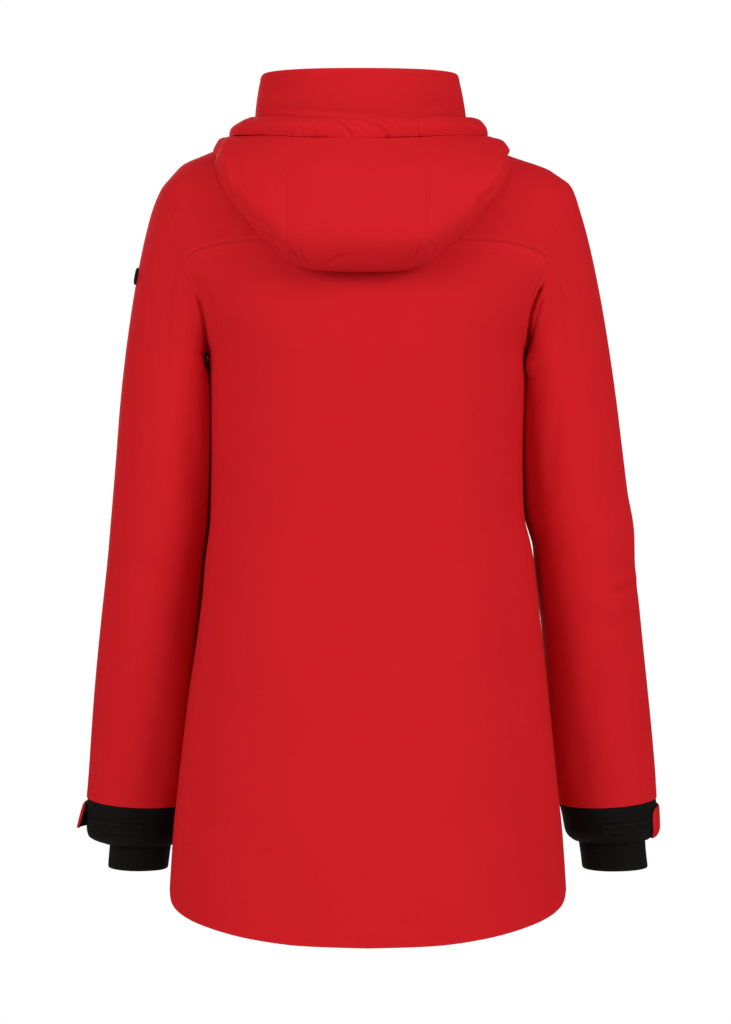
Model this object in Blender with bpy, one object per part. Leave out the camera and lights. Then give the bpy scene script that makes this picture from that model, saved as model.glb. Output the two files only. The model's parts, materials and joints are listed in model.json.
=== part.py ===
"""Hooded rain jacket, hollow as worn, zipped up, with its hood hanging down the back.

Metres. +Z is up and the front faces -Y. The origin is at the middle of the neck.
Angles run round the body in degrees: 0 centre back, 90 wearer's left side, 180 centre front.
"""

import math

import bmesh
import bpy
import numpy as np

# ---------------------------------------------------------------- main sizes

CLOTH = 0.002
SEAM_GAP = 0.0003
HALF_GAP = SEAM_GAP / 2
LAYER_GAP = 0.0016
HOOD_REST_GAP = 0.0033
CURVE_STEP = 0.0005

NECK_LEVEL = -0.012
COLLAR_LEVELS = [0.0545, 0.0400, 0.0200, 0.0030, NECK_LEVEL + HALF_GAP]
HEM_LEVEL = -0.762
# The collar leans a little towards the wearer's left.
NECK_LEAN = 0.007
LEAN_START_LEVEL = -0.050
LEAN_FRONT_FADE = 0.80

BODY_COLUMNS = 20
FRONT_COLUMNS = 10
COLLAR_COLUMNS = 34

# Rings of the collar and body. level is the height at the side, and the drops are
# how far the ring falls from there to centre back and centre front.
BODY_COLUMNS_OF_TABLE = ("level", "half_width", "back", "front", "back_drop", "front_drop", "square")
BODY_TABLE = [
    (0.0700, 0.0960, 0.0770, 0.0820, 0.0030, 0.0100, 2.00),
    (0.0545, 0.0985, 0.0785, 0.0840, 0.0030, 0.0120, 2.00),
    (0.0200, 0.1045, 0.0800, 0.0880, 0.0080, 0.0320, 2.00),
    (-0.0120, 0.1075, 0.0820, 0.0930, 0.0140, 0.0540, 2.00),
    (-0.0180, 0.1240, 0.0900, 0.0980, 0.0160, 0.0580, 2.00),
    (-0.0300, 0.1550, 0.1010, 0.1060, 0.0190, 0.0600, 2.05),
    (-0.0405, 0.1815, 0.1110, 0.1130, 0.0220, 0.0580, 2.10),
    (-0.0550, 0.2020, 0.1170, 0.1180, 0.0230, 0.0540, 2.12),
    (-0.0700, 0.2125, 0.1200, 0.1210, 0.0220, 0.0480, 2.10),
    (-0.1000, 0.2240, 0.1240, 0.1260, 0.0150, 0.0340, 2.05),
    (-0.1400, 0.2200, 0.1280, 0.1320, 0.0050, 0.0160, 2.02),
    (-0.1700, 0.1990, 0.1290, 0.1360, 0.0010, 0.0050, 2.06),
    (-0.1900, 0.1835, 0.1290, 0.1370, 0.0000, 0.0020, 2.12),
    (-0.2100, 0.1680, 0.1285, 0.1370, 0.0000, 0.0000, 2.20),
    (-0.2250, 0.1595, 0.1280, 0.1365, 0.0000, 0.0000, 2.26),
    (-0.2450, 0.1560, 0.1270, 0.1350, 0.0000, 0.0000, 2.28),
    (-0.2700, 0.1550, 0.1255, 0.1320, 0.0000, 0.0000, 2.28),
    (-0.3300, 0.1545, 0.1220, 0.1260, 0.0000, 0.0000, 2.25),
    (-0.3850, 0.1560, 0.1205, 0.1230, 0.0000, 0.0000, 2.25),
    (-0.4300, 0.1620, 0.1215, 0.1230, 0.0000, 0.0000, 2.25),
    (-0.4850, 0.1685, 0.1235, 0.1245, 0.0000, 0.0000, 2.25),
    (-0.5700, 0.1790, 0.1275, 0.1280, 0.0000, 0.0000, 2.20),
    (-0.6500, 0.1880, 0.1310, 0.1315, 0.0000, 0.0000, 2.20),
    (-0.7000, 0.1935, 0.1330, 0.1335, 0.0000, 0.0000, 2.20),
    (-0.7620, 0.1980, 0.1355, 0.1360, 0.0000, 0.0000, 2.20),
    (-0.8200, 0.2020, 0.1375, 0.1380, 0.0000, 0.0000, 2.20),
]

# The shirt-tail hem, as its height round the body.
HEM_COLUMNS_OF_TABLE = ("angle", "height")
HEM_TABLE = [
    (0, -0.8000),
    (16, -0.7985),
    (31, -0.7940),
    (47, -0.7865),
    (64, -0.7770),
    (76, -0.7680),
    (84, -0.7580),
    (90, -0.7540),
    (98, -0.7590),
    (112, -0.7690),
    (135, -0.7750),
    (180, -0.7770),
]

# ---------------------------------------------------------------- armhole

ARMHOLE_MIDDLE_LEVEL = -0.140
ARMHOLE_HALF_HEIGHT = 0.085
ARMHOLE_HALF_SPREAD = 38.0
# Turns round the armhole: 0 shoulder point, 85 yoke seam, 180 underarm.
YOKE_SEAM_TURN = 85
ARMHOLE_TURNS = [0, 17, 34, 51, 68, 85, 104, 123, 142, 161, 180]
ARMHOLE_HALF_GAP = HALF_GAP / ARMHOLE_HALF_HEIGHT
SHOULDER_LEVELS = [NECK_LEVEL, -0.0150, -0.0195, -0.0270, -0.0355, -0.0455]

# How much the yoke seam rises from the armhole towards centre back.
YOKE_RISE = 0.030
YOKE_SEAM_BEND = 1.45

# Rows below the underarm, as parts of the way from there to the hem.
SKIRT_PARTS = [0.08, 0.19, 0.30, 0.40, 0.50, 0.61, 0.72, 0.83, 0.93, 1.0]

# ---------------------------------------------------------------- sleeves

SLEEVE_HEM_HEIGHT = -0.6740
SLEEVE_HEAD_END = -0.3000
HEAD_PARTS = [0.0, 0.05, 0.12, 0.22, 0.36, 0.52, 0.70, 0.86, 1.0]
SLEEVE_ROW_HEIGHTS = [-0.350, -0.395, -0.425, -0.475, -0.540, -0.610, SLEEVE_HEM_HEIGHT]
HEAD_START_PULL = 0.105
HEAD_END_PULL = 0.150
UNDERARM_PULL = 0.020
BODY_CLEARANCE = 0.0022

# Rings of the sleeves, by height: outer edges, width, depth and middle.
SLEEVE_COLUMNS_OF_TABLE = ("height", "left_edge", "right_edge", "width", "depth", "middle")
SLEEVE_TABLE = [
    (-0.2500, 0.2450, 0.2488, 0.1050, 0.1300, -0.0100),
    (-0.3000, 0.2495, 0.2540, 0.1060, 0.1260, -0.0150),
    (-0.3300, 0.2524, 0.2578, 0.1070, 0.1240, -0.0180),
    (-0.3700, 0.2565, 0.2632, 0.1070, 0.1200, -0.0230),
    (-0.4100, 0.2603, 0.2703, 0.1036, 0.1170, -0.0280),
    (-0.4300, 0.2620, 0.2708, 0.1024, 0.1150, -0.0305),
    (-0.4900, 0.2681, 0.2772, 0.1015, 0.1090, -0.0380),
    (-0.5700, 0.2761, 0.2852, 0.1030, 0.1020, -0.0480),
    (-0.6550, 0.2841, 0.2932, 0.1015, 0.0960, -0.0580),
    (-0.7200, 0.2905, 0.2996, 0.0970, 0.0930, -0.0650),
    (-0.7600, 0.2945, 0.3036, 0.0950, 0.0920, -0.0690),
]

# The sleeve's rings lie square to the arm; towards the wrist they are cut level, in part
# across the arm and in part from back to front.
LEVEL_COLUMNS_OF_TABLE = ("height", "across", "along")
LEVEL_TABLE = [
    (-0.2500, 0.00, 0.0),
    (-0.6000, 0.00, 0.0),
    (-0.6740, 0.50, 0.0),
    (-0.7040, 0.75, 0.6),
    (-0.7170, 0.85, 1.0),
    (-0.7600, 0.85, 0.1),
]

# ---------------------------------------------------------------- cuffs

# The black band under the sleeve hem, which turns in at its lower edge, on each arm:
# how far below the hem and how far inwards of the sleeve.
CUFF_COLUMNS_OF_TABLE = ("below_hem", "inwards")
CUFF_BAND_TABLES = {
    "left": [
        (0.0004, 0.0006),
        (0.0160, 0.0010),
        (0.0300, 0.0014),
        (0.0385, 0.0030),
        (0.0450, 0.0100),
        (0.0470, 0.0150),
    ],
    "right": [
        (0.0004, 0.0006),
        (0.0160, 0.0012),
        (0.0300, 0.0020),
        (0.0360, 0.0042),
        (0.0410, 0.0090),
        (0.0430, 0.0124),
    ],
}
INNER_CUFF_TABLES = {
    "left": [(0.0300, 0.0172), (0.0500, 0.0170), (0.0702, 0.0168)],
    "right": [(0.0300, 0.0145), (0.0480, 0.0142), (0.0702, 0.0142)],
}
INNER_CUFF_SHIFT = {"left": -0.0112, "right": -0.0008}

# Closing tabs: how far the tab stands off the band along its length, at its lower edge.
TAB_COLUMNS_OF_TABLE = ("turn", "off")
TAB_TABLES = {
    "left": [
        (-68, 0.0007),
        (-51, 0.0007),
        (-34, 0.0012),
        (-17, 0.0034),
        (0, 0.0066),
        (17, 0.0080),
    ],
    "right": [
        (-68, 0.0005),
        (-51, 0.0005),
        (-34, 0.0005),
        (-17, 0.0005),
        (0, 0.0006),
        (17, 0.0009),
        (34, 0.0014),
    ],
}
TAB_BELOW_HEM = {"left": (0.0065, 0.0190, 0.0310), "right": (0.0085, 0.0200, 0.0300, 0.0355, 0.0400)}
TAB_TOP_SHARE = {"left": 0.05, "right": 0.50}
TAB_BOW = 0.75
TAB_THICKNESS = 0.0014
HOOK_THICKNESS = 0.0010
LOOP_TAPE_TURNS = (34, 51, 68, 85, 104)
LOOP_TAPE_BELOW_HEM = (0.0190, 0.0300)
LOOP_TAPE_THICKNESS = 0.0012

# ---------------------------------------------------------------- hood

# The hood hangs as an open pouch. The rim angle runs round the collar; each row says
# where its cloth leaves the neck seam, where it folds at the foot and how full it is.
HOOD_COLUMNS_OF_TABLE = ("rim_angle", "neck_angle", "foot_angle", "foot_level", "fullness")
HOOD_TABLE = [
    (0, 0, 0, -0.1475, 0.0520),
    (15, 18, 8, -0.1460, 0.0520),
    (30, 37, 16, -0.1385, 0.0490),
    (42, 46, 22.5, -0.1130, 0.0430),
    (52, 54, 29, -0.0850, 0.0360),
    (62, 62, 37, -0.0615, 0.0285),
    (72, 70, 47, -0.0435, 0.0220),
    (84, 82, 62, -0.0315, 0.0145),
    (98, 96, 93, -0.0250, 0.0115),
    (114, 112, 112, -0.0250, 0.0118),
    (130, 128, 129, -0.0250, 0.0118),
    (144, 142, 143, -0.0250, 0.0115),
]
HOOD_FOOT_TURN = 1.6
HOOD_CENTRE_ANGLES = [-27.5, -18, -9, 0, 10, 20, 30]
HOOD_SIDE_ANGLES = [37, 44, 51, 58, 65, 72, 79, 86, 93, 102, 115, 130, 144]
HOOD_BACK_PARTS = [0.0, 0.18, 0.38, 0.60, 0.80, 1.0]
HOOD_START_LEVEL = -0.0145
# Where the pouch's cloth runs, as parts of its fullness out from the foot and up, then
# how far up towards the groove it still bulges and by how much.
FOLD_START = 0.30
FOLD_LOW = (0.42, -0.06)
FOLD_CREST = (0.92, 0.44)
BULGE_PARTS = (0.28, 0.64)
BULGE = 0.22
# Past this rim angle the cloth no longer runs straight down but turns with the neck.
ROUND_SIDE_START = 72
ROUND_SIDE_SPREAD = 20

# Rings at the groove under the casing and at the casing's top edge. Each sits a little
# to the wearer's left.
RIM_COLUMNS_OF_TABLE = (
    "name", "half_width", "back", "front", "back_z", "side_z", "front_z", "shift"
)
RIM_TABLE = [
    ("groove", 0.1280, 0.1180, 0.1090, -0.0215, -0.0085, -0.0640, 0.0085),
    ("casing_low", 0.1295, 0.1200, 0.1105, -0.0185, -0.0060, -0.0615, 0.0085),
    ("casing_mid", 0.1275, 0.1195, 0.1095, -0.0105, 0.0010, -0.0560, 0.0080),
    ("casing_high", 0.1185, 0.1120, 0.1045, -0.0015, 0.0085, -0.0510, 0.0055),
    ("casing_tuck", 0.1130, 0.1030, 0.1000, -0.0030, 0.0078, -0.0520, 0.0055),
]

# ---------------------------------------------------------------- badge and zip

BADGE_RADIUS = 0.0088
BADGE_SIDES = 28
BADGE_TURN = 8.5
BADGE_HEIGHT = -0.146
BADGE_GAP = 0.0006
BADGE_THICKNESS = 0.0020

ZIP_HALF_OPENING = 0.0033
ZIP_CHAIN_HALF_WIDTH = 0.0027
ZIP_CHAIN_DEPTH = 0.0017
ZIP_TAPE_REACH = 0.0145
ZIP_TAPE_THICKNESS = 0.0010
ZIP_TAPE_TOP_GAP = 0.0030
ZIP_CHAIN_TOP_GAP = 0.0070
ZIP_HEM_GAP = 0.0080
SLIDER_HEIGHT = 0.0240
SLIDER_GAP = 0.0009
SLIDER_WIDTH = 0.0080
SLIDER_LENGTH = 0.0120
SLIDER_THICKNESS = 0.0022
SLIDER_TIP_SHARE = 0.62
SLIDER_LOW_SLOPE = 0.0040
SLIDER_TOP_SLOPE = 0.0020
BRIDGE_HALF_WIDTH = 0.0009
BRIDGE_RISE = 0.0042
BRIDGE_HALF_LENGTH = 0.0034
BRIDGE_BAR = 0.0012
BRIDGE_SINK = 0.0006
BRIDGE_CORNER = 0.0004
BRIDGE_FOOT = 0.0001
PULL_BAR_RADIUS = 0.0008
PULL_LENGTH = 0.0300
PULL_WIDTH = 0.0070
PULL_WINDOW_HALF_WIDTH = 0.0016
PULL_WINDOW_DROP = 0.0046
PULL_BAR_RISE = 0.0014
PULL_END_SLOPE = 0.0030
PULL_END_INSET = 0.0020

# ---------------------------------------------------------------- colours

COLOURS = {
    "back_panel": (0.62, 0.012, 0.018, 1),
    "back_yoke": (0.60, 0.012, 0.018, 1),
    "front": (0.61, 0.012, 0.018, 1),
    "collar": (0.66, 0.014, 0.022, 1),
    "hood": (0.63, 0.013, 0.020, 1),
    "casing": (0.65, 0.014, 0.021, 1),
    "sleeve": (0.61, 0.012, 0.019, 1),
    "tab": (0.62, 0.012, 0.020, 1),
    "cuff": (0.012, 0.011, 0.012, 1),
    "hook": (0.010, 0.010, 0.010, 1),
    "zip": (0.030, 0.030, 0.032, 1),
}


# ---------------------------------------------------------------- curves through tables


class Curve:
    """A smooth curve through the points of a table, without overshoot."""

    def __init__(self, keys, values):
        order = np.argsort(keys)
        self.keys = np.asarray(keys, float)[order]
        self.values = np.asarray(values, float)[order]
        steps = np.diff(self.keys)
        slopes = np.diff(self.values) / steps
        self.slopes = np.empty(len(self.keys))
        self.slopes[0] = slopes[0]
        self.slopes[-1] = slopes[-1]
        for i in range(1, len(slopes)):
            before, after = slopes[i - 1], slopes[i]
            level = before * after <= 0
            self.slopes[i] = 0 if level else 2 * before * after / (before + after)

    def __call__(self, key):
        key = np.asarray(key, float)
        i = np.clip(np.searchsorted(self.keys, key) - 1, 0, len(self.keys) - 2)
        step = self.keys[i + 1] - self.keys[i]
        t = (key - self.keys[i]) / step
        inside = np.clip(t, 0, 1)
        start = self.values[i] * (1 + 2 * inside) * (1 - inside) ** 2
        end = self.values[i + 1] * inside**2 * (3 - 2 * inside)
        leave = self.slopes[i] * step * inside * (1 - inside) ** 2
        arrive = self.slopes[i + 1] * step * inside**2 * (inside - 1)
        beyond = np.where(t < 0, self.slopes[i], self.slopes[i + 1]) * (t - inside) * step
        return start + end + leave + arrive + beyond


def curves(columns, table):
    """One curve per named column of a table, keyed by its first column."""
    keys = [row[0] for row in table]
    return {name: Curve(keys, [row[i] for row in table]) for i, name in enumerate(columns) if i}


BODY = curves(BODY_COLUMNS_OF_TABLE, BODY_TABLE)
HEM = curves(HEM_COLUMNS_OF_TABLE, HEM_TABLE)
SLEEVE = curves(SLEEVE_COLUMNS_OF_TABLE, SLEEVE_TABLE)
LEVEL = curves(LEVEL_COLUMNS_OF_TABLE, LEVEL_TABLE)
HOOD = curves(HOOD_COLUMNS_OF_TABLE, HOOD_TABLE)


def unit(vectors):
    length = np.linalg.norm(vectors, axis=-1, keepdims=True)
    return vectors / np.maximum(length, 1e-12)


# ---------------------------------------------------------------- the body's form


def ease(part):
    """A smooth step from 0 to 1."""
    part = np.clip(part, 0, 1)
    return part * part * (3 - 2 * part)


def lean(level, cosine=1.0):
    """How far the rings above the shoulders are moved to the wearer's left, fading to the zip."""
    height = ease((level - LEAN_START_LEVEL) / (NECK_LEVEL - LEAN_START_LEVEL))
    return NECK_LEAN * height * ease((1 + cosine) / LEAN_FRONT_FADE)


def body_point(angle, level):
    """The outer face of the cloth at this angle round the body and this level."""
    angle = np.radians(np.asarray(angle, float))
    level = np.asarray(level, float)
    sine, cosine = np.sin(angle), np.cos(angle)
    power = 2 / BODY["square"](level)
    depth = np.where(cosine >= 0, BODY["back"](level), BODY["front"](level))
    drop = np.where(cosine >= 0, BODY["back_drop"](level), BODY["front_drop"](level))
    x = BODY["half_width"](level) * np.sign(sine) * np.abs(sine) ** power + lean(level, cosine)
    y = depth * np.sign(cosine) * np.abs(cosine) ** power
    return np.stack([x, y, level - drop * cosine**2], axis=-1)


def body_normal(angle, level):
    """Straight out of the body's cloth."""
    turn = np.degrees(CURVE_STEP / 0.15)
    across = body_point(angle + turn, level) - body_point(angle - turn, level)
    down = body_point(angle, level - CURVE_STEP) - body_point(angle, level + CURVE_STEP)
    return unit(np.cross(across, down))


def level_at(angle, height):
    """The level whose ring passes through this height at this angle."""
    level = np.asarray(height, float) + np.zeros_like(np.asarray(angle, float))
    for _ in range(12):
        level = level + (height - body_point(angle, level)[..., 2]) * 0.7
    return level


def angle_at(half_width, level):
    """The angle from centre back or front at which the ring is this far from the middle."""
    ratio = half_width / BODY["half_width"](level)
    return np.degrees(np.arcsin(np.clip(ratio, 0, 1) ** (BODY["square"](level) / 2)))


def armhole(turn, grow):
    """Angle and level on the armhole, on its back half for turns up to 180."""
    turn = np.radians(np.asarray(turn, float))
    angle = 90 - ARMHOLE_HALF_SPREAD * (1 + grow) * np.sin(turn)
    level = ARMHOLE_MIDDLE_LEVEL + ARMHOLE_HALF_HEIGHT * (1 + grow) * np.cos(turn)
    return angle, level


# ---------------------------------------------------------------- walls of cloth


def new_object(name, points, faces, material):
    mesh = bpy.data.meshes.new(name)
    mesh.from_pydata([tuple(point) for point in points], [], faces)
    edit = bmesh.new()
    edit.from_mesh(mesh)
    bmesh.ops.recalc_face_normals(edit, faces=edit.faces)
    edit.to_mesh(mesh)
    edit.free()
    made = bpy.data.objects.new(name, mesh)
    bpy.context.scene.collection.objects.link(made)
    look = bpy.data.materials.new(name)
    look.use_nodes = True
    shader = look.node_tree.nodes["Principled BSDF"]
    shader.inputs["Base Color"].default_value = COLOURS[material]
    shader.inputs["Roughness"].default_value = 0.35 if material == "zip" else 0.85
    mesh.materials.append(look)
    return made


def wall(name, outer, inner, material, ring=False):
    """A closed wall between two grids of points. A ring joins its last column to its first."""
    rows, columns = outer.shape[:2]
    count = rows * columns
    points = np.concatenate([outer.reshape(-1, 3), inner.reshape(-1, 3)])
    faces = []
    last = columns if ring else columns - 1
    for row in range(rows - 1):
        for column in range(last):
            beside = (column + 1) % columns
            a, b = row * columns + column, row * columns + beside
            c, d = a + columns, b + columns
            faces.append((a, b, d, c))
            faces.append((a + count, c + count, d + count, b + count))
    for column in range(last):
        beside = (column + 1) % columns
        low = (rows - 1) * columns
        faces.append((column, column + count, beside + count, beside))
        faces.append((low + column, low + beside, low + beside + count, low + column + count))
    if not ring:
        for row in range(rows - 1):
            a, b = row * columns, (row + 1) * columns
            faces.append((a, b, b + count, a + count))
            a, b = a + columns - 1, b + columns - 1
            faces.append((a, a + count, b + count, b))
    return new_object(name, points, faces, material)


def body_wall(name, angle, level, material, out=0.0, thickness=CLOTH):
    """A wall of cloth on the body's form, from grids of angle and level."""
    face = body_point(angle, level)
    normal = body_normal(angle, level)
    outer = face + normal * out
    return wall(name, outer, outer - normal * thickness, material)


# ---------------------------------------------------------------- body panels


def side_gap(level):
    return np.degrees(HALF_GAP / BODY["half_width"](level))


def shoulder_edge():
    """Angle and level down the shoulder seam, from the neck to the shoulder point."""
    levels = np.array(SHOULDER_LEVELS)
    levels[0] -= HALF_GAP
    return 90 - side_gap(levels), levels


def armhole_edge(turns):
    angle, level = armhole(turns, ARMHOLE_HALF_GAP)
    return np.minimum(angle, 90 - side_gap(level)), level


def yoke_seam(across, shift):
    """Level of the yoke seam. across is -1 to 1 between the armholes."""
    _, end = armhole(YOKE_SEAM_TURN, 0.0)
    rise = YOKE_RISE * (1 - np.abs(across) ** YOKE_SEAM_BEND)
    return end + rise + shift


def across_back(edge, across):
    """Angles across the back, evenly spaced where the armholes don't cut in."""
    return 90 * across - (90 - edge) * across * np.abs(across)


def make_yoke():
    angle_top, level_top = shoulder_edge()
    turns = [turn for turn in ARMHOLE_TURNS if turn <= YOKE_SEAM_TURN]
    angle_low, level_low = armhole_edge(np.array(turns))
    edge_angle = np.concatenate([angle_top, angle_low])
    edge_level = np.concatenate([level_top, level_low])
    across = np.linspace(-1, 1, BODY_COLUMNS + 1)
    part = (edge_level[0] - edge_level) / (edge_level[0] - edge_level[-1])
    lift = yoke_seam(across, HALF_GAP) - edge_level[-1]
    angle = across_back(edge_angle[:, None], across[None, :])
    level = edge_level[:, None] + part[:, None] * lift[None, :]
    body_wall("back_yoke", angle, level, "back_yoke")


def make_back_panel():
    turns = [turn for turn in ARMHOLE_TURNS if turn >= YOKE_SEAM_TURN]
    edge_angle, edge_level = armhole_edge(np.array(turns))
    across = np.linspace(-1, 1, BODY_COLUMNS + 1)
    start = edge_level[-1]
    part = (edge_level[0] - edge_level) / (edge_level[0] - edge_level[-1])
    lift = yoke_seam(across, -HALF_GAP) - edge_level[0]
    angle_rows = [across_back(edge_angle[:, None], across[None, :])]
    level_rows = [edge_level[:, None] + (1 - part)[:, None] * lift[None, :]]
    for down in SKIRT_PARTS:
        side = start + (HEM_LEVEL - start) * down
        angle = (90 - side_gap(side)) * across
        hem = HEM["height"](np.abs(angle))
        level = start + (hem - start) * down
        angle_rows.append(angle[None, :])
        level_rows.append(level[None, :])
    body_wall("back_panel", np.concatenate(angle_rows), np.concatenate(level_rows), "back_panel")


def front_edge():
    """Angle and level down the outer edge of a front, from the neck to the underarm."""
    angle_top, level_top = shoulder_edge()
    angle_low, level_low = armhole_edge(np.array(ARMHOLE_TURNS))
    return 180 - np.concatenate([angle_top, angle_low]), np.concatenate([level_top, level_low])


def make_fronts():
    edge_angle, edge_level = front_edge()
    start = edge_level[-1]
    part = np.linspace(0, 1, FRONT_COLUMNS)
    angle_rows = []
    level_rows = []
    for side, level in zip(edge_angle, edge_level):
        angle_rows.append(front_row(side, level, part))
        level_rows.append(np.full(FRONT_COLUMNS + 1, level))
    for down in SKIRT_PARTS:
        side_level = start + (HEM_LEVEL - start) * down
        angle = front_row(90 + side_gap(side_level), side_level, part)
        angle_rows.append(angle)
        level_rows.append(start + (HEM["height"](angle) - start) * down)
    angle = np.array(angle_rows)
    level = np.array(level_rows)
    body_wall("front_left", angle, level, "front")
    body_wall("front_right", -angle, level, "front")


def front_row(side, level, part):
    """Angles across a front: from its outer edge to the zip tape's edge, then the opening."""
    tape = 180 - angle_at(ZIP_TAPE_REACH + LAYER_GAP, level)
    middle = 180 - angle_at(ZIP_HALF_OPENING, level)
    even = 90 + (tape - 90) * part
    return np.append(even + (side - 90) * (1 - part) ** 2, middle)


def centre_front_levels():
    """Levels of the collar's and fronts' rows at centre front."""
    _, levels = front_edge()
    start = levels[-1]
    hem = float(HEM["height"](180))
    skirt = [start + (hem - start) * down for down in SKIRT_PARTS]
    return list(COLLAR_LEVELS) + list(levels) + skirt


def make_collar():
    levels = np.array(COLLAR_LEVELS)
    tape = 180 - angle_at(ZIP_TAPE_REACH + LAYER_GAP, levels)
    end = 180 - angle_at(ZIP_HALF_OPENING, levels)
    across = np.linspace(-1, 1, COLLAR_COLUMNS - 1)
    angle = np.column_stack([-end, tape[:, None] * across[None, :], end])
    level = levels[:, None] + 0 * angle
    body_wall("collar", angle, level, "collar")


# ---------------------------------------------------------------- sleeves


def both_ways(turns):
    """Turns for a whole ring: down the back, then up the front."""
    return np.array(list(turns) + [360 - turn for turn in reversed(turns[1:-1])])


def sleeve_ring(side, turn, height, inwards=0.0, shift=0.0):
    """Points of a ring of the wearer's left or right sleeve, as if both were on the left."""
    edge = SLEEVE[side + "_edge"]
    turn = np.radians(np.asarray(turn, float))
    height = np.asarray(height, float)

    def middle(at):
        x = edge(at) - SLEEVE["width"](at) / 2
        return np.stack([x, SLEEVE["middle"](at), at], axis=-1)

    axis = unit(middle(height - 0.02) - middle(height + 0.02))
    out = unit(np.array([1.0, 0, 0]) - axis * axis[..., :1])
    back = unit(np.cross(out, axis))
    out[..., 2] *= 1 - LEVEL["across"](height)
    back[..., 2] *= 1 - LEVEL["along"](height)
    across = SLEEVE["width"](height) / 2 - inwards
    along = SLEEVE["depth"](height) / 2 - inwards
    ring = middle(height) + out * (across * np.cos(turn))[..., None]
    ring = ring + back * (along * np.sin(turn))[..., None]
    ring[..., 0] += shift
    return ring


def clear_body(points):
    """Keeps sleeve points outside the body's cloth."""
    level = points[..., 2]
    width = BODY["half_width"](level) + BODY_CLEARANCE
    back = BODY["back"](level) + BODY_CLEARANCE
    front = BODY["front"](level) + BODY_CLEARANCE
    depth = np.where(points[..., 1] >= 0, back, front)
    square = BODY["square"](level)
    inside = np.clip(1 - np.abs(points[..., 1] / depth) ** square, 0, 1)
    limit = width * inside ** (1 / square)
    low = np.clip((ARMHOLE_MIDDLE_LEVEL - ARMHOLE_HALF_HEIGHT + 0.004 - level) / 0.01, 0, 1)
    push = np.maximum(limit - points[..., 0], 0) * low
    cleared = points.copy()
    cleared[..., 0] += push
    return cleared


def sleeve_grid(side):
    """Outer face of the sleeve: from the armhole over the sleeve head, then down the arm."""
    turns = both_ways(ARMHOLE_TURNS)
    half = np.where(turns <= 180, turns, 360 - turns)
    angle, level = armhole(half, -ARMHOLE_HALF_GAP)
    angle = np.where(turns <= 180, angle, 180 - angle)
    start = body_point(angle, level)
    angle_in, level_in = armhole(half, -0.08)
    angle_in = np.where(turns <= 180, angle_in, 180 - angle_in)
    away = unit(body_point(angle_in, level_in) - start)
    under = np.clip(-np.cos(np.radians(turns)), 0, 1)[:, None] ** 0.7
    pull = HEAD_START_PULL * (1 - under) + UNDERARM_PULL * under
    away = unit(away * (1 - under) + np.array([1.0, 0, 0.1]) * under) * pull
    end = sleeve_ring(side, turns, np.full(turns.shape, SLEEVE_HEAD_END))
    below = sleeve_ring(side, turns, np.full(turns.shape, SLEEVE_HEAD_END - 0.02))
    length = np.linalg.norm(end - start, axis=-1, keepdims=True)
    arrive = unit(below - end) * np.minimum(HEAD_END_PULL, length)
    rows = []
    for t in HEAD_PARTS:
        row = start * (1 + 2 * t) * (1 - t) ** 2
        row = row + end * t * t * (3 - 2 * t)
        row = row + away * t * (1 - t) ** 2
        row = row + arrive * t * t * (t - 1)
        rows.append(row)
    for height in SLEEVE_ROW_HEIGHTS:
        rows.append(sleeve_ring(side, turns, np.full(turns.shape, height)))
    grid = np.array(rows)
    grid[1:] = clear_body(grid[1:])
    return grid, body_normal(angle, level)


def ring_normals(grid):
    """Outward normals of a grid whose columns close into a ring."""
    across = np.roll(grid, -1, axis=1) - np.roll(grid, 1, axis=1)
    down = np.gradient(grid, axis=0)
    return unit(np.cross(across, down))


def mirrored(points, side):
    return points * np.array([1 if side == "left" else -1, 1, 1])


def make_sleeve(side):
    grid, seam_normal = sleeve_grid(side)
    normal = ring_normals(grid)
    if np.sum(normal[-1] * (grid[-1] - grid[-1].mean(axis=0))) < 0:
        normal = -normal
    normal[0] = seam_normal
    inner = grid - normal * CLOTH
    wall("sleeve_" + side, mirrored(grid, side), mirrored(inner, side), "sleeve", ring=True)


# ---------------------------------------------------------------- cuffs


def cuff_shift(side, inwards):
    """The band moves over towards the inner cuff as it turns in."""
    deepest = CUFF_BAND_TABLES[side][-1][1]
    return INNER_CUFF_SHIFT[side] * np.minimum(inwards / deepest, 1.0)


def cuff_wall(name, side, tables, material):
    turns = both_ways(ARMHOLE_TURNS)
    outer = []
    for below, inwards in tables[side]:
        height = np.full(turns.shape, SLEEVE_HEM_HEIGHT - below)
        outer.append(sleeve_ring(side, turns, height, inwards, cuff_shift(side, inwards)))
    outer = np.array(outer)
    normal = ring_normals(outer)
    if np.sum(normal[0] * (outer[0] - outer[0].mean(axis=0))) < 0:
        normal = -normal
    inner = outer - normal * CLOTH
    wall(name + side, mirrored(outer, side), mirrored(inner, side), material, ring=True)


def cuff_face(side, turn, below, off):
    """Points moved off the band's outer face."""
    band = curves(CUFF_COLUMNS_OF_TABLE, CUFF_BAND_TABLES[side])
    inwards = band["inwards"](below)
    shift = cuff_shift(side, inwards)
    return sleeve_ring(side, turn, SLEEVE_HEM_HEIGHT - below, inwards - off, shift)


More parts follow.
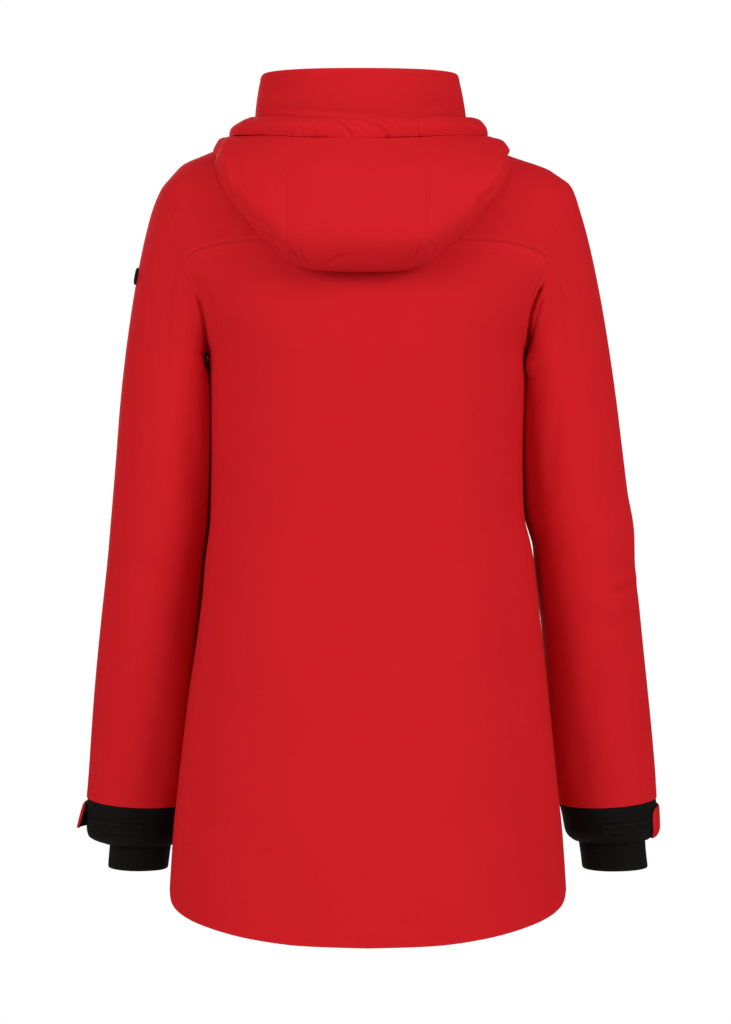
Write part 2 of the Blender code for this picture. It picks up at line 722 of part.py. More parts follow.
def make_tab(side):
    table = TAB_TABLES[side]
    stand = curves(TAB_COLUMNS_OF_TABLE, table)
    below = np.array(TAB_BELOW_HEM[side])
    turn_grid, below_grid = np.meshgrid([row[0] for row in table], below)
    part = ((below_grid - below[0]) / (below[-1] - below[0])) ** TAB_BOW
    rest = table[0][1]
    share = TAB_TOP_SHARE[side]
    off = rest + (stand["off"](turn_grid) - rest) * (share + (1 - share) * part)
    base = cuff_face(side, turn_grid, below_grid, off)
    middle = cuff_face(side, turn_grid, below_grid, off + HOOK_THICKNESS)
    start = cuff_face(side, turn_grid, below_grid, off + HOOK_THICKNESS + SEAM_GAP)
    face = cuff_face(side, turn_grid, below_grid, off + HOOK_THICKNESS + SEAM_GAP + TAB_THICKNESS)
    wall("strap_hook_" + side, mirrored(middle, side), mirrored(base, side), "hook")
    wall("strap_" + side, mirrored(face, side), mirrored(start, side), "tab")


def make_loop_tape(side):
    turn_grid, below_grid = np.meshgrid(LOOP_TAPE_TURNS, np.array(LOOP_TAPE_BELOW_HEM))
    base = cuff_face(side, turn_grid, below_grid, SEAM_GAP)
    face = cuff_face(side, turn_grid, below_grid, SEAM_GAP + LOOP_TAPE_THICKNESS)
    wall("loop_tape_" + side, mirrored(face, side), mirrored(base, side), "hook")


# ---------------------------------------------------------------- hood


def rim_point(name, angle):
    """A point of one of the hood's rim rings."""
    row = dict(zip(RIM_COLUMNS_OF_TABLE, next(row for row in RIM_TABLE if row[0] == name)))
    angle = np.radians(np.asarray(angle, float))
    sine, cosine = np.sin(angle), np.cos(angle)
    depth = np.where(cosine >= 0, row["back"], row["front"])
    end = np.where(cosine >= 0, row["back_z"], row["front_z"])
    z = row["side_z"] + (end - row["side_z"]) * cosine**2
    x = row["half_width"] * sine + row["shift"] * ease((1 + cosine) / LEAN_FRONT_FADE)
    return np.stack([x, depth * cosine, z], axis=-1)


def hood_controls(rim):
    """Points down the hood's cloth: over the yoke, round the foot and up to the groove."""
    rim = np.asarray(rim, float)
    sign, size = np.sign(rim), np.abs(rim)
    neck = sign * HOOD["neck_angle"](size)
    foot = sign * HOOD["foot_angle"](size) + HOOD_FOOT_TURN
    foot_level = HOOD["foot_level"](size)
    full = HOOD["fullness"](size)
    points = []
    above = foot_level + FOLD_START * full
    start_x = body_point(neck, HOOD_START_LEVEL)[..., 0]
    end_x = body_point(foot, above)[..., 0]
    round_side = np.clip((size - ROUND_SIDE_START) / ROUND_SIDE_SPREAD, 0, 1)
    for part in HOOD_BACK_PARTS:
        level = HOOD_START_LEVEL + (above - HOOD_START_LEVEL) * part
        across = start_x + (end_x - start_x) * part - lean(level)
        straight = np.sign(across) * angle_at(np.abs(across), level)
        turned = neck + (foot - neck) * part
        angle = straight + (turned - straight) * round_side
        points.append(body_point(angle, level) + body_normal(angle, level) * HOOD_REST_GAP)
    up = unit(body_point(foot, foot_level + 0.004) - body_point(foot, foot_level - 0.004))
    out = body_normal(foot, foot_level)
    low = body_point(foot, foot_level)
    groove = rim_point("groove", rim)
    full = full[..., None]
    points.append(low + out * full * FOLD_LOW[0] + up * full * FOLD_LOW[1])
    crest = low + out * full * FOLD_CREST[0] + up * full * FOLD_CREST[1]
    points.append(crest)
    climb = groove - crest
    belly = unit(np.cross(np.cross(climb, out), climb))
    for part in BULGE_PARTS:
        points.append(crest + climb * part + belly * full * BULGE)
    points.append(groove)
    return np.array(points)


def through(controls, count):
    """A smooth line through rows of control points, with extra rows between them."""
    rows = []
    last = len(controls) - 1
    for i in range(last):
        before = controls[max(i - 1, 0)]
        a, b = controls[i], controls[i + 1]
        after = controls[min(i + 2, last)]
        for step in range(count):
            t = step / count
            leave = (b - before) / 2
            arrive = (after - a) / 2
            row = a * (1 + 2 * t) * (1 - t) ** 2 + b * t * t * (3 - 2 * t)
            rows.append(row + leave * t * (1 - t) ** 2 + arrive * t * t * (t - 1))
    rows.append(controls[-1])
    return np.array(rows)


def hood_rows(angles):
    """The hood's cloth from the neck seam to the groove, then its casing."""
    controls = hood_controls(angles)
    count = len(HOOD_BACK_PARTS)
    bend = through(controls[count - 1 :], 2)
    casing = [rim_point(row[0], angles) for row in RIM_TABLE[1:]]
    return np.concatenate([controls[: count - 1], bend, casing])


def hood_grid(angles):
    """Outer face and outward normals of the hood and casing at these rim angles."""
    step = 0.25
    grid = hood_rows(angles)
    across = hood_rows(angles + step) - hood_rows(angles - step)
    down = np.gradient(grid, axis=0)
    return grid, unit(np.cross(down, across))


def inset(angles, low, high):
    """Moves the end columns in from the seams by half a gap."""
    moved = np.array(angles, float)
    turn = math.degrees(HALF_GAP / 0.12)
    moved[0] += turn * low
    moved[-1] -= turn * high
    return moved


def make_hood_piece(place, angles):
    grid, normal = hood_grid(angles)
    groove = len(grid) - len(RIM_TABLE)
    inner = grid - normal * CLOTH
    down = unit(grid[groove] - grid[groove - 1]) * HALF_GAP
    hood, hood_inner = grid[: groove + 1].copy(), inner[: groove + 1].copy()
    hood[-1] -= down
    hood_inner[-1] -= down
    casing, casing_inner = grid[groove:].copy(), inner[groove:].copy()
    casing[0] += down
    casing_inner[0] += down
    wall("hood_" + place, hood, hood_inner, "hood")
    wall("hood_casing_" + place, casing, casing_inner, "casing")


def make_hood():
    centre = HOOD_CENTRE_ANGLES
    left = inset([centre[-1]] + HOOD_SIDE_ANGLES, 1, 0)
    right = inset([-centre[0]] + HOOD_SIDE_ANGLES, 1, 0)
    make_hood_piece("center", inset(centre, 1, 1))
    make_hood_piece("left", left)
    make_hood_piece("right", -right[::-1])


# ---------------------------------------------------------------- badge


def make_badge():
    """A flat round patch on the outer side of the wearer's left sleeve."""
    grid, _ = sleeve_grid("left")
    part = BADGE_TURN / ARMHOLE_TURNS[1]
    line = grid[:, 0] * (1 - part) + grid[:, 1] * part
    row = int(np.argmax(line[:, 2] < BADGE_HEIGHT))
    above, below = line[row - 1], line[row]
    centre = above + (below - above) * (BADGE_HEIGHT - above[2]) / (below[2] - above[2])
    down = unit(below - above)
    across = unit(grid[row, 1] - grid[row, 0])
    out = unit(np.cross(down, across))
    out = out if out[0] > 0 else -out
    across = unit(np.cross(out, down))
    offset = centre + out * BADGE_GAP
    around = np.linspace(0, 2 * math.pi, BADGE_SIDES, endpoint=False)
    rim = np.cos(around)[:, None] * across + np.sin(around)[:, None] * down
    face = offset + rim * BADGE_RADIUS
    points = np.concatenate([face, face + out * BADGE_THICKNESS])
    count = BADGE_SIDES
    faces = [tuple(range(count)), tuple(range(2 * count - 1, count - 1, -1))]
    for i in range(count):
        j = (i + 1) % count
        faces.append((i, j, j + count, i + count))
    new_object("badge", points, faces, "cuff")


# ---------------------------------------------------------------- zip


def zip_strip(name, near, far, out, thickness, top_gap):
    """A strip down centre front, between two distances from the middle."""
    levels = np.array(centre_front_levels())
    levels[0] -= top_gap
    levels[-1] += ZIP_HEM_GAP
    away = [angle_at(abs(reach), levels) * np.sign(reach) for reach in (near, (near + far) / 2, far)]
    angle = 180 - np.column_stack(away)
    level = levels[:, None] + 0 * angle
    body_wall(name, angle, level, "zip", out, thickness)


def ring_plate(name, outline, hole, x0, x1, material):
    """A plate across X whose outline and hole are matching loops of (y, z) points."""
    count = len(outline)
    points = []
    for x in (x0, x1):
        points += [(x, y, z) for y, z in outline]
        points += [(x, y, z) for y, z in hole]
    faces = []
    for i in range(count):
        j = (i + 1) % count
        faces.append((i, j, count + j, count + i))
        faces.append((2 * count + i, 3 * count + i, 3 * count + j, 2 * count + j))
        faces.append((i, 2 * count + i, 2 * count + j, j))
        faces.append((count + i, count + j, 3 * count + j, 3 * count + i))
    return new_object(name, points, faces, material)


def make_zip():
    tape_out = -CLOTH - SEAM_GAP
    near = SEAM_GAP
    far = ZIP_TAPE_REACH
    zip_strip("zip_tape_left", near, far, tape_out, ZIP_TAPE_THICKNESS, ZIP_TAPE_TOP_GAP)
    zip_strip("zip_tape_right", -near, -far, tape_out, ZIP_TAPE_THICKNESS, ZIP_TAPE_TOP_GAP)
    half = ZIP_CHAIN_HALF_WIDTH
    zip_strip("zip_chain", -half, half, -SEAM_GAP, ZIP_CHAIN_DEPTH, ZIP_CHAIN_TOP_GAP)
    level = level_at(180.0, SLIDER_HEIGHT)
    middle, face, _ = body_point(180.0, level)
    make_slider(middle, face - SLIDER_GAP)
    make_pull(middle, face - SLIDER_GAP)


def make_slider(across, face):
    """The slider lies on the chain, with a bridge over the pull's bar."""
    top = SLIDER_HEIGHT + SLIDER_LENGTH / 2
    low = SLIDER_HEIGHT - SLIDER_LENGTH / 2
    front = face - SLIDER_THICKNESS
    half = SLIDER_WIDTH / 2
    tip = half * SLIDER_TIP_SHARE
    waist, shoulder = low + SLIDER_LOW_SLOPE, top - SLIDER_TOP_SLOPE
    outline = [(-tip, low), (tip, low), (half, waist), (half, shoulder)]
    outline += [(tip, top), (-tip, top), (-half, shoulder), (-half, waist)]
    count = len(outline)
    points = [(x, face, z) for x, z in outline] + [(x, front, z) for x, z in outline]
    faces = [tuple(range(count)), tuple(range(2 * count - 1, count - 1, -1))]
    for i in range(count):
        j = (i + 1) % count
        faces.append((i, j, j + count, i + count))
    points = [(across + x, y, z) for x, y, z in points]
    body = new_object("zip_slider", points, faces, "zip")
    reach = BRIDGE_HALF_LENGTH
    rise = BRIDGE_RISE
    bar = BRIDGE_BAR
    root = front + BRIDGE_SINK
    foot = root - BRIDGE_FOOT
    corner = BRIDGE_CORNER
    high = front - rise
    middle = SLIDER_HEIGHT
    arch = [
        (root, middle - reach),
        (high + bar, middle - reach),
        (high, middle - reach + bar),
        (high, middle + reach - bar),
        (high + bar, middle + reach),
        (root, middle + reach),
    ]
    under = [
        (foot, middle - reach + bar),
        (high + bar + corner, middle - reach + bar),
        (high + bar, middle - reach + bar + corner),
        (high + bar, middle + reach - bar - corner),
        (high + bar + corner, middle + reach - bar),
        (foot, middle + reach - bar),
    ]
    left, right = across + BRIDGE_HALF_WIDTH, across - BRIDGE_HALF_WIDTH
    bridge = ring_plate("bridge", arch, under, right, left, "zip")
    join = body.modifiers.new("bridge", "BOOLEAN")
    join.operation = "UNION"
    join.solver = "EXACT"
    join.object = bridge
    bridge.hide_render = True
    bridge.display_type = "WIRE"


def make_pull(across, face):
    """The pull hangs from the bridge by its top bar, and swings out from the slider."""
    bar_y = face - SLIDER_THICKNESS - BRIDGE_RISE / 2 + BRIDGE_BAR / 2
    bar_z = SLIDER_HEIGHT - BRIDGE_HALF_LENGTH + BRIDGE_BAR + PULL_BAR_RISE
    half = PULL_WIDTH / 2
    thick = PULL_BAR_RADIUS
    low = bar_z - PULL_LENGTH
    slot = PULL_WINDOW_HALF_WIDTH
    end, inset_end = low + PULL_END_SLOPE, half - PULL_END_INSET
    outline = [(-half, bar_z + thick), (half, bar_z + thick), (half, end)]
    outline += [(inset_end, low), (-inset_end, low), (-half, end)]
    window = [(-slot, bar_z - thick), (slot, bar_z - thick), (slot, bar_z - PULL_WINDOW_DROP)]
    window += [(slot * 0.5, bar_z - PULL_WINDOW_DROP), (-slot * 0.5, bar_z - PULL_WINDOW_DROP)]
    window += [(-slot, bar_z - PULL_WINDOW_DROP)]
    pull = ring_plate("zip_pull", outline, window, -thick, thick, "zip")
    for vertex in pull.data.vertices:
        depth, side, height = vertex.co
        vertex.co = (across + side, bar_y + depth, height)
    edit = bmesh.new()
    edit.from_mesh(pull.data)
    bmesh.ops.recalc_face_normals(edit, faces=edit.faces)
    edit.to_mesh(pull.data)
    edit.free()


# ---------------------------------------------------------------- build


def main():
    for thing in list(bpy.data.objects):
        bpy.data.objects.remove(thing, do_unlink=True)
    make_yoke()
    make_back_panel()
    make_fronts()
    make_collar()
    for side in ("left", "right"):
        make_sleeve(side)
        cuff_wall("cuff_", side, CUFF_BAND_TABLES, "cuff")
        cuff_wall("inner_cuff_", side, INNER_CUFF_TABLES, "cuff")
        make_tab(side)
        make_loop_tape(side)
    make_hood()
    make_badge()
    make_zip()


main()
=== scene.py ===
import json
import math

import bmesh
import bpy
import numpy as np
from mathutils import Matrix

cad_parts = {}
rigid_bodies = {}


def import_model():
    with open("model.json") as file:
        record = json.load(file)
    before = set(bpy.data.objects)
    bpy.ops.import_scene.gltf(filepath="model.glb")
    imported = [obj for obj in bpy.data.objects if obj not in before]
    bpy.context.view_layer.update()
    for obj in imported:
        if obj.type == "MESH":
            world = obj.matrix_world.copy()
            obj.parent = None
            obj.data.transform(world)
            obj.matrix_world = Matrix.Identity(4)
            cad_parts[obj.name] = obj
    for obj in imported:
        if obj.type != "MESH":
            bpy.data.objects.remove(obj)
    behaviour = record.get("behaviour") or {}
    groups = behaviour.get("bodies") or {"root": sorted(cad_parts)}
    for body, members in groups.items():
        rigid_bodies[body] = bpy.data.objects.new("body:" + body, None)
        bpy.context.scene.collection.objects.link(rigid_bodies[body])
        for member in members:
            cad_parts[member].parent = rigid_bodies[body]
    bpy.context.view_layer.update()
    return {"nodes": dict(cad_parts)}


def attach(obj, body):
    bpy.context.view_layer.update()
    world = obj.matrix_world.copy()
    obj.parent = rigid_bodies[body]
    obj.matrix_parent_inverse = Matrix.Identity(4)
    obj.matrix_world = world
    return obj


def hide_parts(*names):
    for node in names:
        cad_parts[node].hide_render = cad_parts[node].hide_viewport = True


for old in list(bpy.data.objects):
    bpy.data.objects.remove(old, do_unlink=True)
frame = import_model()
print("frame loaded:", len(frame["nodes"]), "solids")

jacket = "jacket"
scene = bpy.context.scene


def addNode(tree, kind, **values):
    # values name the node's own settings, or its inputs with _ for a space
    node = tree.nodes.new(kind)
    for key, value in values.items():
        if hasattr(node, key):
            setattr(node, key, value)
        else:
            node.inputs[key.replace("_", " ")].default_value = value
    return node


# camera, lights and floor

studio = {
    "cameraPlace": (0.0015, 3.2, -0.382),
    "lens": 112.5,
    "sensorWidth": 36,
    "floorHeight": -1.42,
    "floorRadius": 1.35,
    "floorGrain": 3.0,
    "floorGreys": (0.80, 0.84),
    "floorRoughness": 0.8,
    "roomLight": 0.31,
    "roomTint": (1, 0.995, 0.99, 1),
    "aimAt": (0.0, 0.0, -0.38),
    "lamps": [  # name, place, size, power
        ("keyLamp", (-2.1, 2.0, 0.65), 1.3, 46.0),
        ("fillLamp", (2.2, 2.1, 0.45), 1.4, 42.0),
        ("frontLamp", (0.6, -2.7, 0.4), 1.8, 46.0),
        ("topLamp", (0.2, 2.0, 1.9), 1.2, 8.0),
    ],
}


def makeLamp(name, place, size, power, aimAt):
    lamp = bpy.data.lights.new(name, "AREA")
    lamp.size = size
    lamp.energy = power
    holder = bpy.data.objects.new(name, lamp)
    holder.location = place
    aim = np.array(aimAt) - np.array(place)
    yaw = math.atan2(aim[0], -aim[1])
    tilt = math.atan2(math.hypot(aim[0], aim[1]), -aim[2])
    holder.rotation_euler = (tilt, 0, yaw + math.pi)
    scene.collection.objects.link(holder)


def makeRoom(strength, tint):
    # the camera sees plain white, and the cloth is lit more softly than that
    world = bpy.data.worlds.new("room")
    scene.world = world
    world.use_nodes = True
    tree = world.node_tree
    tree.nodes.clear()
    link = tree.links.new
    out = tree.nodes.new("ShaderNodeOutputWorld")
    seen = addNode(tree, "ShaderNodeBackground", Color=(1, 1, 1, 1), Strength=1.0)
    lit = addNode(tree, "ShaderNodeBackground", Color=tint, Strength=strength)
    path = tree.nodes.new("ShaderNodeLightPath")
    mix = tree.nodes.new("ShaderNodeMixShader")
    link(path.outputs["Is Camera Ray"], mix.inputs[0])
    link(lit.outputs[0], mix.inputs[1])
    link(seen.outputs[0], mix.inputs[2])
    link(mix.outputs[0], out.inputs["Surface"])


def makeFloor(look):
    bpy.ops.mesh.primitive_circle_add(vertices=96, radius=look["floorRadius"], fill_type="NGON")
    floor = bpy.context.object
    floor.name = "floor"
    for vertex in floor.data.vertices:
        vertex.co.z += look["floorHeight"]
    pale = bpy.data.materials.new("paleFloor")
    pale.use_nodes = True
    tree = pale.node_tree
    shader = tree.nodes["Principled BSDF"]
    grain = addNode(tree, "ShaderNodeTexNoise", Scale=look["floorGrain"])
    ramp = tree.nodes.new("ShaderNodeValToRGB")
    for stop, grey in zip(ramp.color_ramp.elements, look["floorGreys"]):
        stop.color = (grey, grey, grey, 1)
    tree.links.new(grain.outputs["Fac"], ramp.inputs["Fac"])
    tree.links.new(ramp.outputs["Color"], shader.inputs["Base Color"])
    shader.inputs["Roughness"].default_value = look["floorRoughness"]
    floor.data.materials.append(pale)


def makeStudio(look):
    data = bpy.data.cameras.new("camera")
    data.lens = look["lens"]
    data.sensor_width = look["sensorWidth"]
    data.dof.use_dof = False
    camera = bpy.data.objects.new("camera", data)
    camera.location = look["cameraPlace"]
    camera.rotation_euler = (math.radians(90), 0, math.radians(180))
    scene.collection.objects.link(camera)
    scene.camera = camera
    for name, place, size, power in look["lamps"]:
        makeLamp(name, place, size, power, look["aimAt"])
    makeRoom(look["roomLight"], look["roomTint"])
    scene.view_settings.view_transform = "Standard"
    makeFloor(look)


makeStudio(studio)
print("studio ready")


# finishes


def groupTree(name, inputs, outputs):
    tree = bpy.data.node_groups.new(name, "ShaderNodeTree")
    for label, kind, value in inputs:
        socket = tree.interface.new_socket(name=label, in_out="INPUT", socket_type=kind)
        if value is not None:
            socket.default_value = value
    for label, kind in outputs:
        tree.interface.new_socket(name=label, in_out="OUTPUT", socket_type=kind)
    return tree, tree.nodes.new("NodeGroupInput"), tree.nodes.new("NodeGroupOutput")


def mathNode(tree, operation, first, second=None):
    node = tree.nodes.new("ShaderNodeMath")
    node.operation = operation
    for slot, value in zip(node.inputs, (first, second)):
        if value is None:
            continue
        if isinstance(value, (int, float)):
            slot.default_value = value
        else:
            tree.links.new(value, slot)
    return node.outputs[0]


def makeWeaveGroup():
    # a fine plain weave: threads cross over and under, each a little uneven
    floatIn, colourIn = "NodeSocketFloat", "NodeSocketColor"
    tree, given, made = groupTree(
        "wovenFace",
        [
            ("Place", "NodeSocketVector", None),
            ("Threads", floatIn, 1500.0),
            ("Uneven", floatIn, 0.3),
            ("Mottle", floatIn, 22.0),
        ],
        [("Height", floatIn), ("Tone", floatIn), ("Cloud", floatIn)],
    )
    scaled = addNode(tree, "ShaderNodeVectorMath", operation="SCALE")
    tree.links.new(given.outputs["Place"], scaled.inputs[0])
    tree.links.new(given.outputs["Threads"], scaled.inputs["Scale"])
    split = addNode(tree, "ShaderNodeSeparateXYZ")
    tree.links.new(scaled.outputs[0], split.inputs[0])
    warp = mathNode(tree, "SINE", split.outputs[0])
    weft = mathNode(tree, "SINE", split.outputs[1])
    cross = mathNode(tree, "MULTIPLY", warp, weft)
    threads = mathNode(tree, "ABSOLUTE", cross)
    noise = addNode(tree, "ShaderNodeTexNoise", Detail=3.0, Roughness=0.6)
    tree.links.new(given.outputs["Place"], noise.inputs["Vector"])
    tree.links.new(mathNode(tree, "MULTIPLY", given.outputs["Threads"], 0.35), noise.inputs["Scale"])
    rough = mathNode(tree, "MULTIPLY", noise.outputs["Fac"], given.outputs["Uneven"])
    tree.links.new(mathNode(tree, "ADD", threads, rough), made.inputs["Height"])
    tree.links.new(noise.outputs["Fac"], made.inputs["Tone"])
    cloud = addNode(tree, "ShaderNodeTexNoise", Detail=2.0, Roughness=0.5)
    tree.links.new(given.outputs["Place"], cloud.inputs["Vector"])
    tree.links.new(given.outputs["Mottle"], cloud.inputs["Scale"])
    tree.links.new(cloud.outputs["Fac"], made.inputs["Cloud"])
    return tree


def makePaintedEdgeLightGroup():
    # painted highlight and painted shade: from the mesh's pointiness, folds and outer edges are painted a
    # little lighter, hollows a little darker
    floatIn = "NodeSocketFloat"
    tree, given, made = groupTree(
        "paintedEdgeLight",
        [("Low", floatIn, 0.46), ("High", floatIn, 0.60)],
        [("Edge", floatIn)],
    )
    shape = addNode(tree, "ShaderNodeNewGeometry")
    span = addNode(tree, "ShaderNodeMapRange")
    tree.links.new(shape.outputs["Pointiness"], span.inputs["Value"])
    tree.links.new(given.outputs["Low"], span.inputs["From Min"])
    tree.links.new(given.outputs["High"], span.inputs["From Max"])
    tree.links.new(span.outputs["Result"], made.inputs["Edge"])
    return tree


weaveGroup = makeWeaveGroup()
paintedEdgeLightGroup = makePaintedEdgeLightGroup()


def mixNode(tree, first, second, factor):
    # first and second are colours or sockets
    node = addNode(tree, "ShaderNodeMix", data_type="RGBA")
    for slot, value in (("A", first), ("B", second)):
        if isinstance(value, tuple):
            node.inputs[slot].default_value = (*value, 1)
        else:
            tree.links.new(value, node.inputs[slot])
    tree.links.new(factor, node.inputs["Factor"])
    return node.outputs["Result"]


def makeFinish(name, look, pattern, swing, relief, depth):
    # two tones, a painted highlight on folds and outer edges with painted shade in hollows, an uneven
    # roughness and a fine relief, all from one pattern
    material = bpy.data.materials.new(name)
    material.use_nodes = True
    tree = material.node_tree
    shader = tree.nodes["Principled BSDF"]
    blend, tone, height = pattern(tree, look)
    # painted highlight: the edge colour goes onto convex edges and folds by pointiness, and hollows keep the
    # darker tones as painted shade
    edgeLight = addNode(tree, "ShaderNodeGroup", node_tree=paintedEdgeLightGroup)
    worn = mathNode(tree, "MULTIPLY", edgeLight.outputs["Edge"], look["edgeLight"])
    tones = mixNode(tree, look["dark"], look["light"], blend)
    tree.links.new(mixNode(tree, tones, look["worn"], worn), shader.inputs["Base Color"])
    middle = look["roughness"]
    rough = addNode(tree, "ShaderNodeMapRange", To_Min=middle - swing, To_Max=middle + swing)
    tree.links.new(tone, rough.inputs["Value"])
    tree.links.new(rough.outputs["Result"], shader.inputs["Roughness"])
    bump = addNode(tree, "ShaderNodeBump", Strength=relief, Distance=depth)
    tree.links.new(height, bump.inputs["Height"])
    tree.links.new(bump.outputs[0], shader.inputs["Normal"])
    return material, shader


def wovenPattern(tree, look):
    # on the piece's own UV map, which is in metres
    uv = addNode(tree, "ShaderNodeUVMap", uv_map="cloth")
    weave = addNode(tree, "ShaderNodeGroup", node_tree=weaveGroup)
    weave.inputs["Threads"].default_value = 2 * math.pi / look["thread"]
    weave.inputs["Uneven"].default_value = look["uneven"]
    weave.inputs["Mottle"].default_value = look["mottle"]
    tree.links.new(uv.outputs[0], weave.inputs["Place"])
    cloud = mathNode(tree, "MULTIPLY", weave.outputs["Cloud"], look["cloudShare"])
    tone = mathNode(tree, "MULTIPLY", weave.outputs["Tone"], 1 - look["cloudShare"])
    return mathNode(tree, "ADD", cloud, tone), weave.outputs["Tone"], weave.outputs["Height"]


def grainPattern(tree, look):
    place = addNode(tree, "ShaderNodeTexCoord")
    noise = addNode(tree, "ShaderNodeTexNoise", Scale=look["grain"], Detail=4.0)
    tree.links.new(place.outputs["Object"], noise.inputs["Vector"])
    return [noise.outputs["Fac"]] * 3


def clothLook(name, look):
    depth = look["thread"] * look["threadRise"]
    material, shader = makeFinish(name, look, wovenPattern, look["swing"], look["relief"], depth)
    shader.inputs["Specular IOR Level"].default_value = look["gloss"]
    shader.inputs["Sheen Weight"].default_value = look["sheen"]
    shader.inputs["Sheen Roughness"].default_value = 0.5
    shader.inputs["Sheen Tint"].default_value = (*look["worn"], 1)
    return material


def hardLook(name, row):
    # moulded plastic, lacquer or thread
    look = dict(zip(hardColumns, row))
    material, shader = makeFinish(name, look, grainPattern, **hardRelief)
    shader.inputs["Metallic"].default_value = look["metal"]
    return material


# the colour after light is a painted highlight for folds and outer edges, and the number after it is how
# strongly it is painted; it also tints the sheen
softShell = {
    "dark": (0.570, 0.0108, 0.0158),
    "light": (0.645, 0.0138, 0.0198),
    "worn": (0.78, 0.024, 0.030),
    "edgeLight": 0.5,
    "thread": 0.0009,
    "threadRise": 0.25,
    "uneven": 0.5,
    "mottle": 14.0,
    "cloudShare": 0.65,
    "roughness": 0.72,
    "swing": 0.06,
    "relief": 0.22,
    "gloss": 0.01,
    "sheen": 0.004,
}
shellBack = {
    **softShell,
    "dark": (0.40, 0.007, 0.011),
    "light": (0.48, 0.009, 0.014),
    "thread": 0.0016,
    "relief": 0.6,
    "roughness": 0.9,
}
cuffStretch = {
    **softShell,
    "dark": (0.0027, 0.0021, 0.0019),
    "light": (0.0048, 0.0040, 0.0037),
    "worn": (0.015, 0.014, 0.013),
    "edgeLight": 0.6,
    "thread": 0.0011,
    "uneven": 0.6,
    "mottle": 30.0,
    "roughness": 0.80,
    "relief": 0.5,
    "gloss": 0.08,
    "sheen": 0.01,
}
loopPile = {
    **cuffStretch,
    "dark": (0.0006, 0.0005, 0.0005),
    "light": (0.0056, 0.0049, 0.0046),
    "worn": (0.018, 0.016, 0.015),
    "edgeLight": 1.0,
    "thread": 0.0024,
    "uneven": 2.0,
    "relief": 1.0,
}
hookPile = {
    **cuffStretch,
    "dark": (0.0030, 0.0028, 0.0028),
    "light": (0.0070, 0.0066, 0.0064),
    "thread": 0.0012,
    "relief": 1.0,
}
hardRelief = {"swing": 0.08, "relief": 0.15, "depth": 0.0001}
# the third column is a painted highlight colour for folds and outer edges, the fourth how strongly it is
# painted
hardColumns = ("dark", "light", "worn", "edgeLight", "grain", "roughness", "metal")
hardRows = {
    "redThread": ((0.40, 0.006, 0.010), (0.60, 0.012, 0.018), (0.70, 0.02, 0.03), 0.3, 2500.0, 0.7, 0.0),
    "mouldedTeeth": ((0.008, 0.008, 0.009), (0.016, 0.016, 0.017), (0.05, 0.05, 0.05), 0.6, 900.0, 0.42, 0.0),
    "blackLacquer": ((0.010, 0.010, 0.011), (0.018, 0.018, 0.019), (0.20, 0.20, 0.20), 0.5, 700.0, 0.36, 0.2),
}
looks = {
    "shell": clothLook("softShellFace", softShell),
    "back": clothLook("softShellBack", shellBack),
    "cuff": clothLook("stretchCloth", cuffStretch),
    "loop": clothLook("loopTape", loopPile),
    "hook": clothLook("hookTape", hookPile),
    "patch": clothLook("plainPatch", {**cuffStretch, "thread": 0.0006, "relief": 0.6}),
    "tape": clothLook("zipTape", {**cuffStretch, "thread": 0.0010, "relief": 0.8}),
}
looks.update({name: hardLook(name, row) for name, row in hardRows.items()})
print("finishes ready")


# the cut: the same named sizes as the solids

clothThickness = 0.0012
halfGap = 0.00004
farAway = 1e9

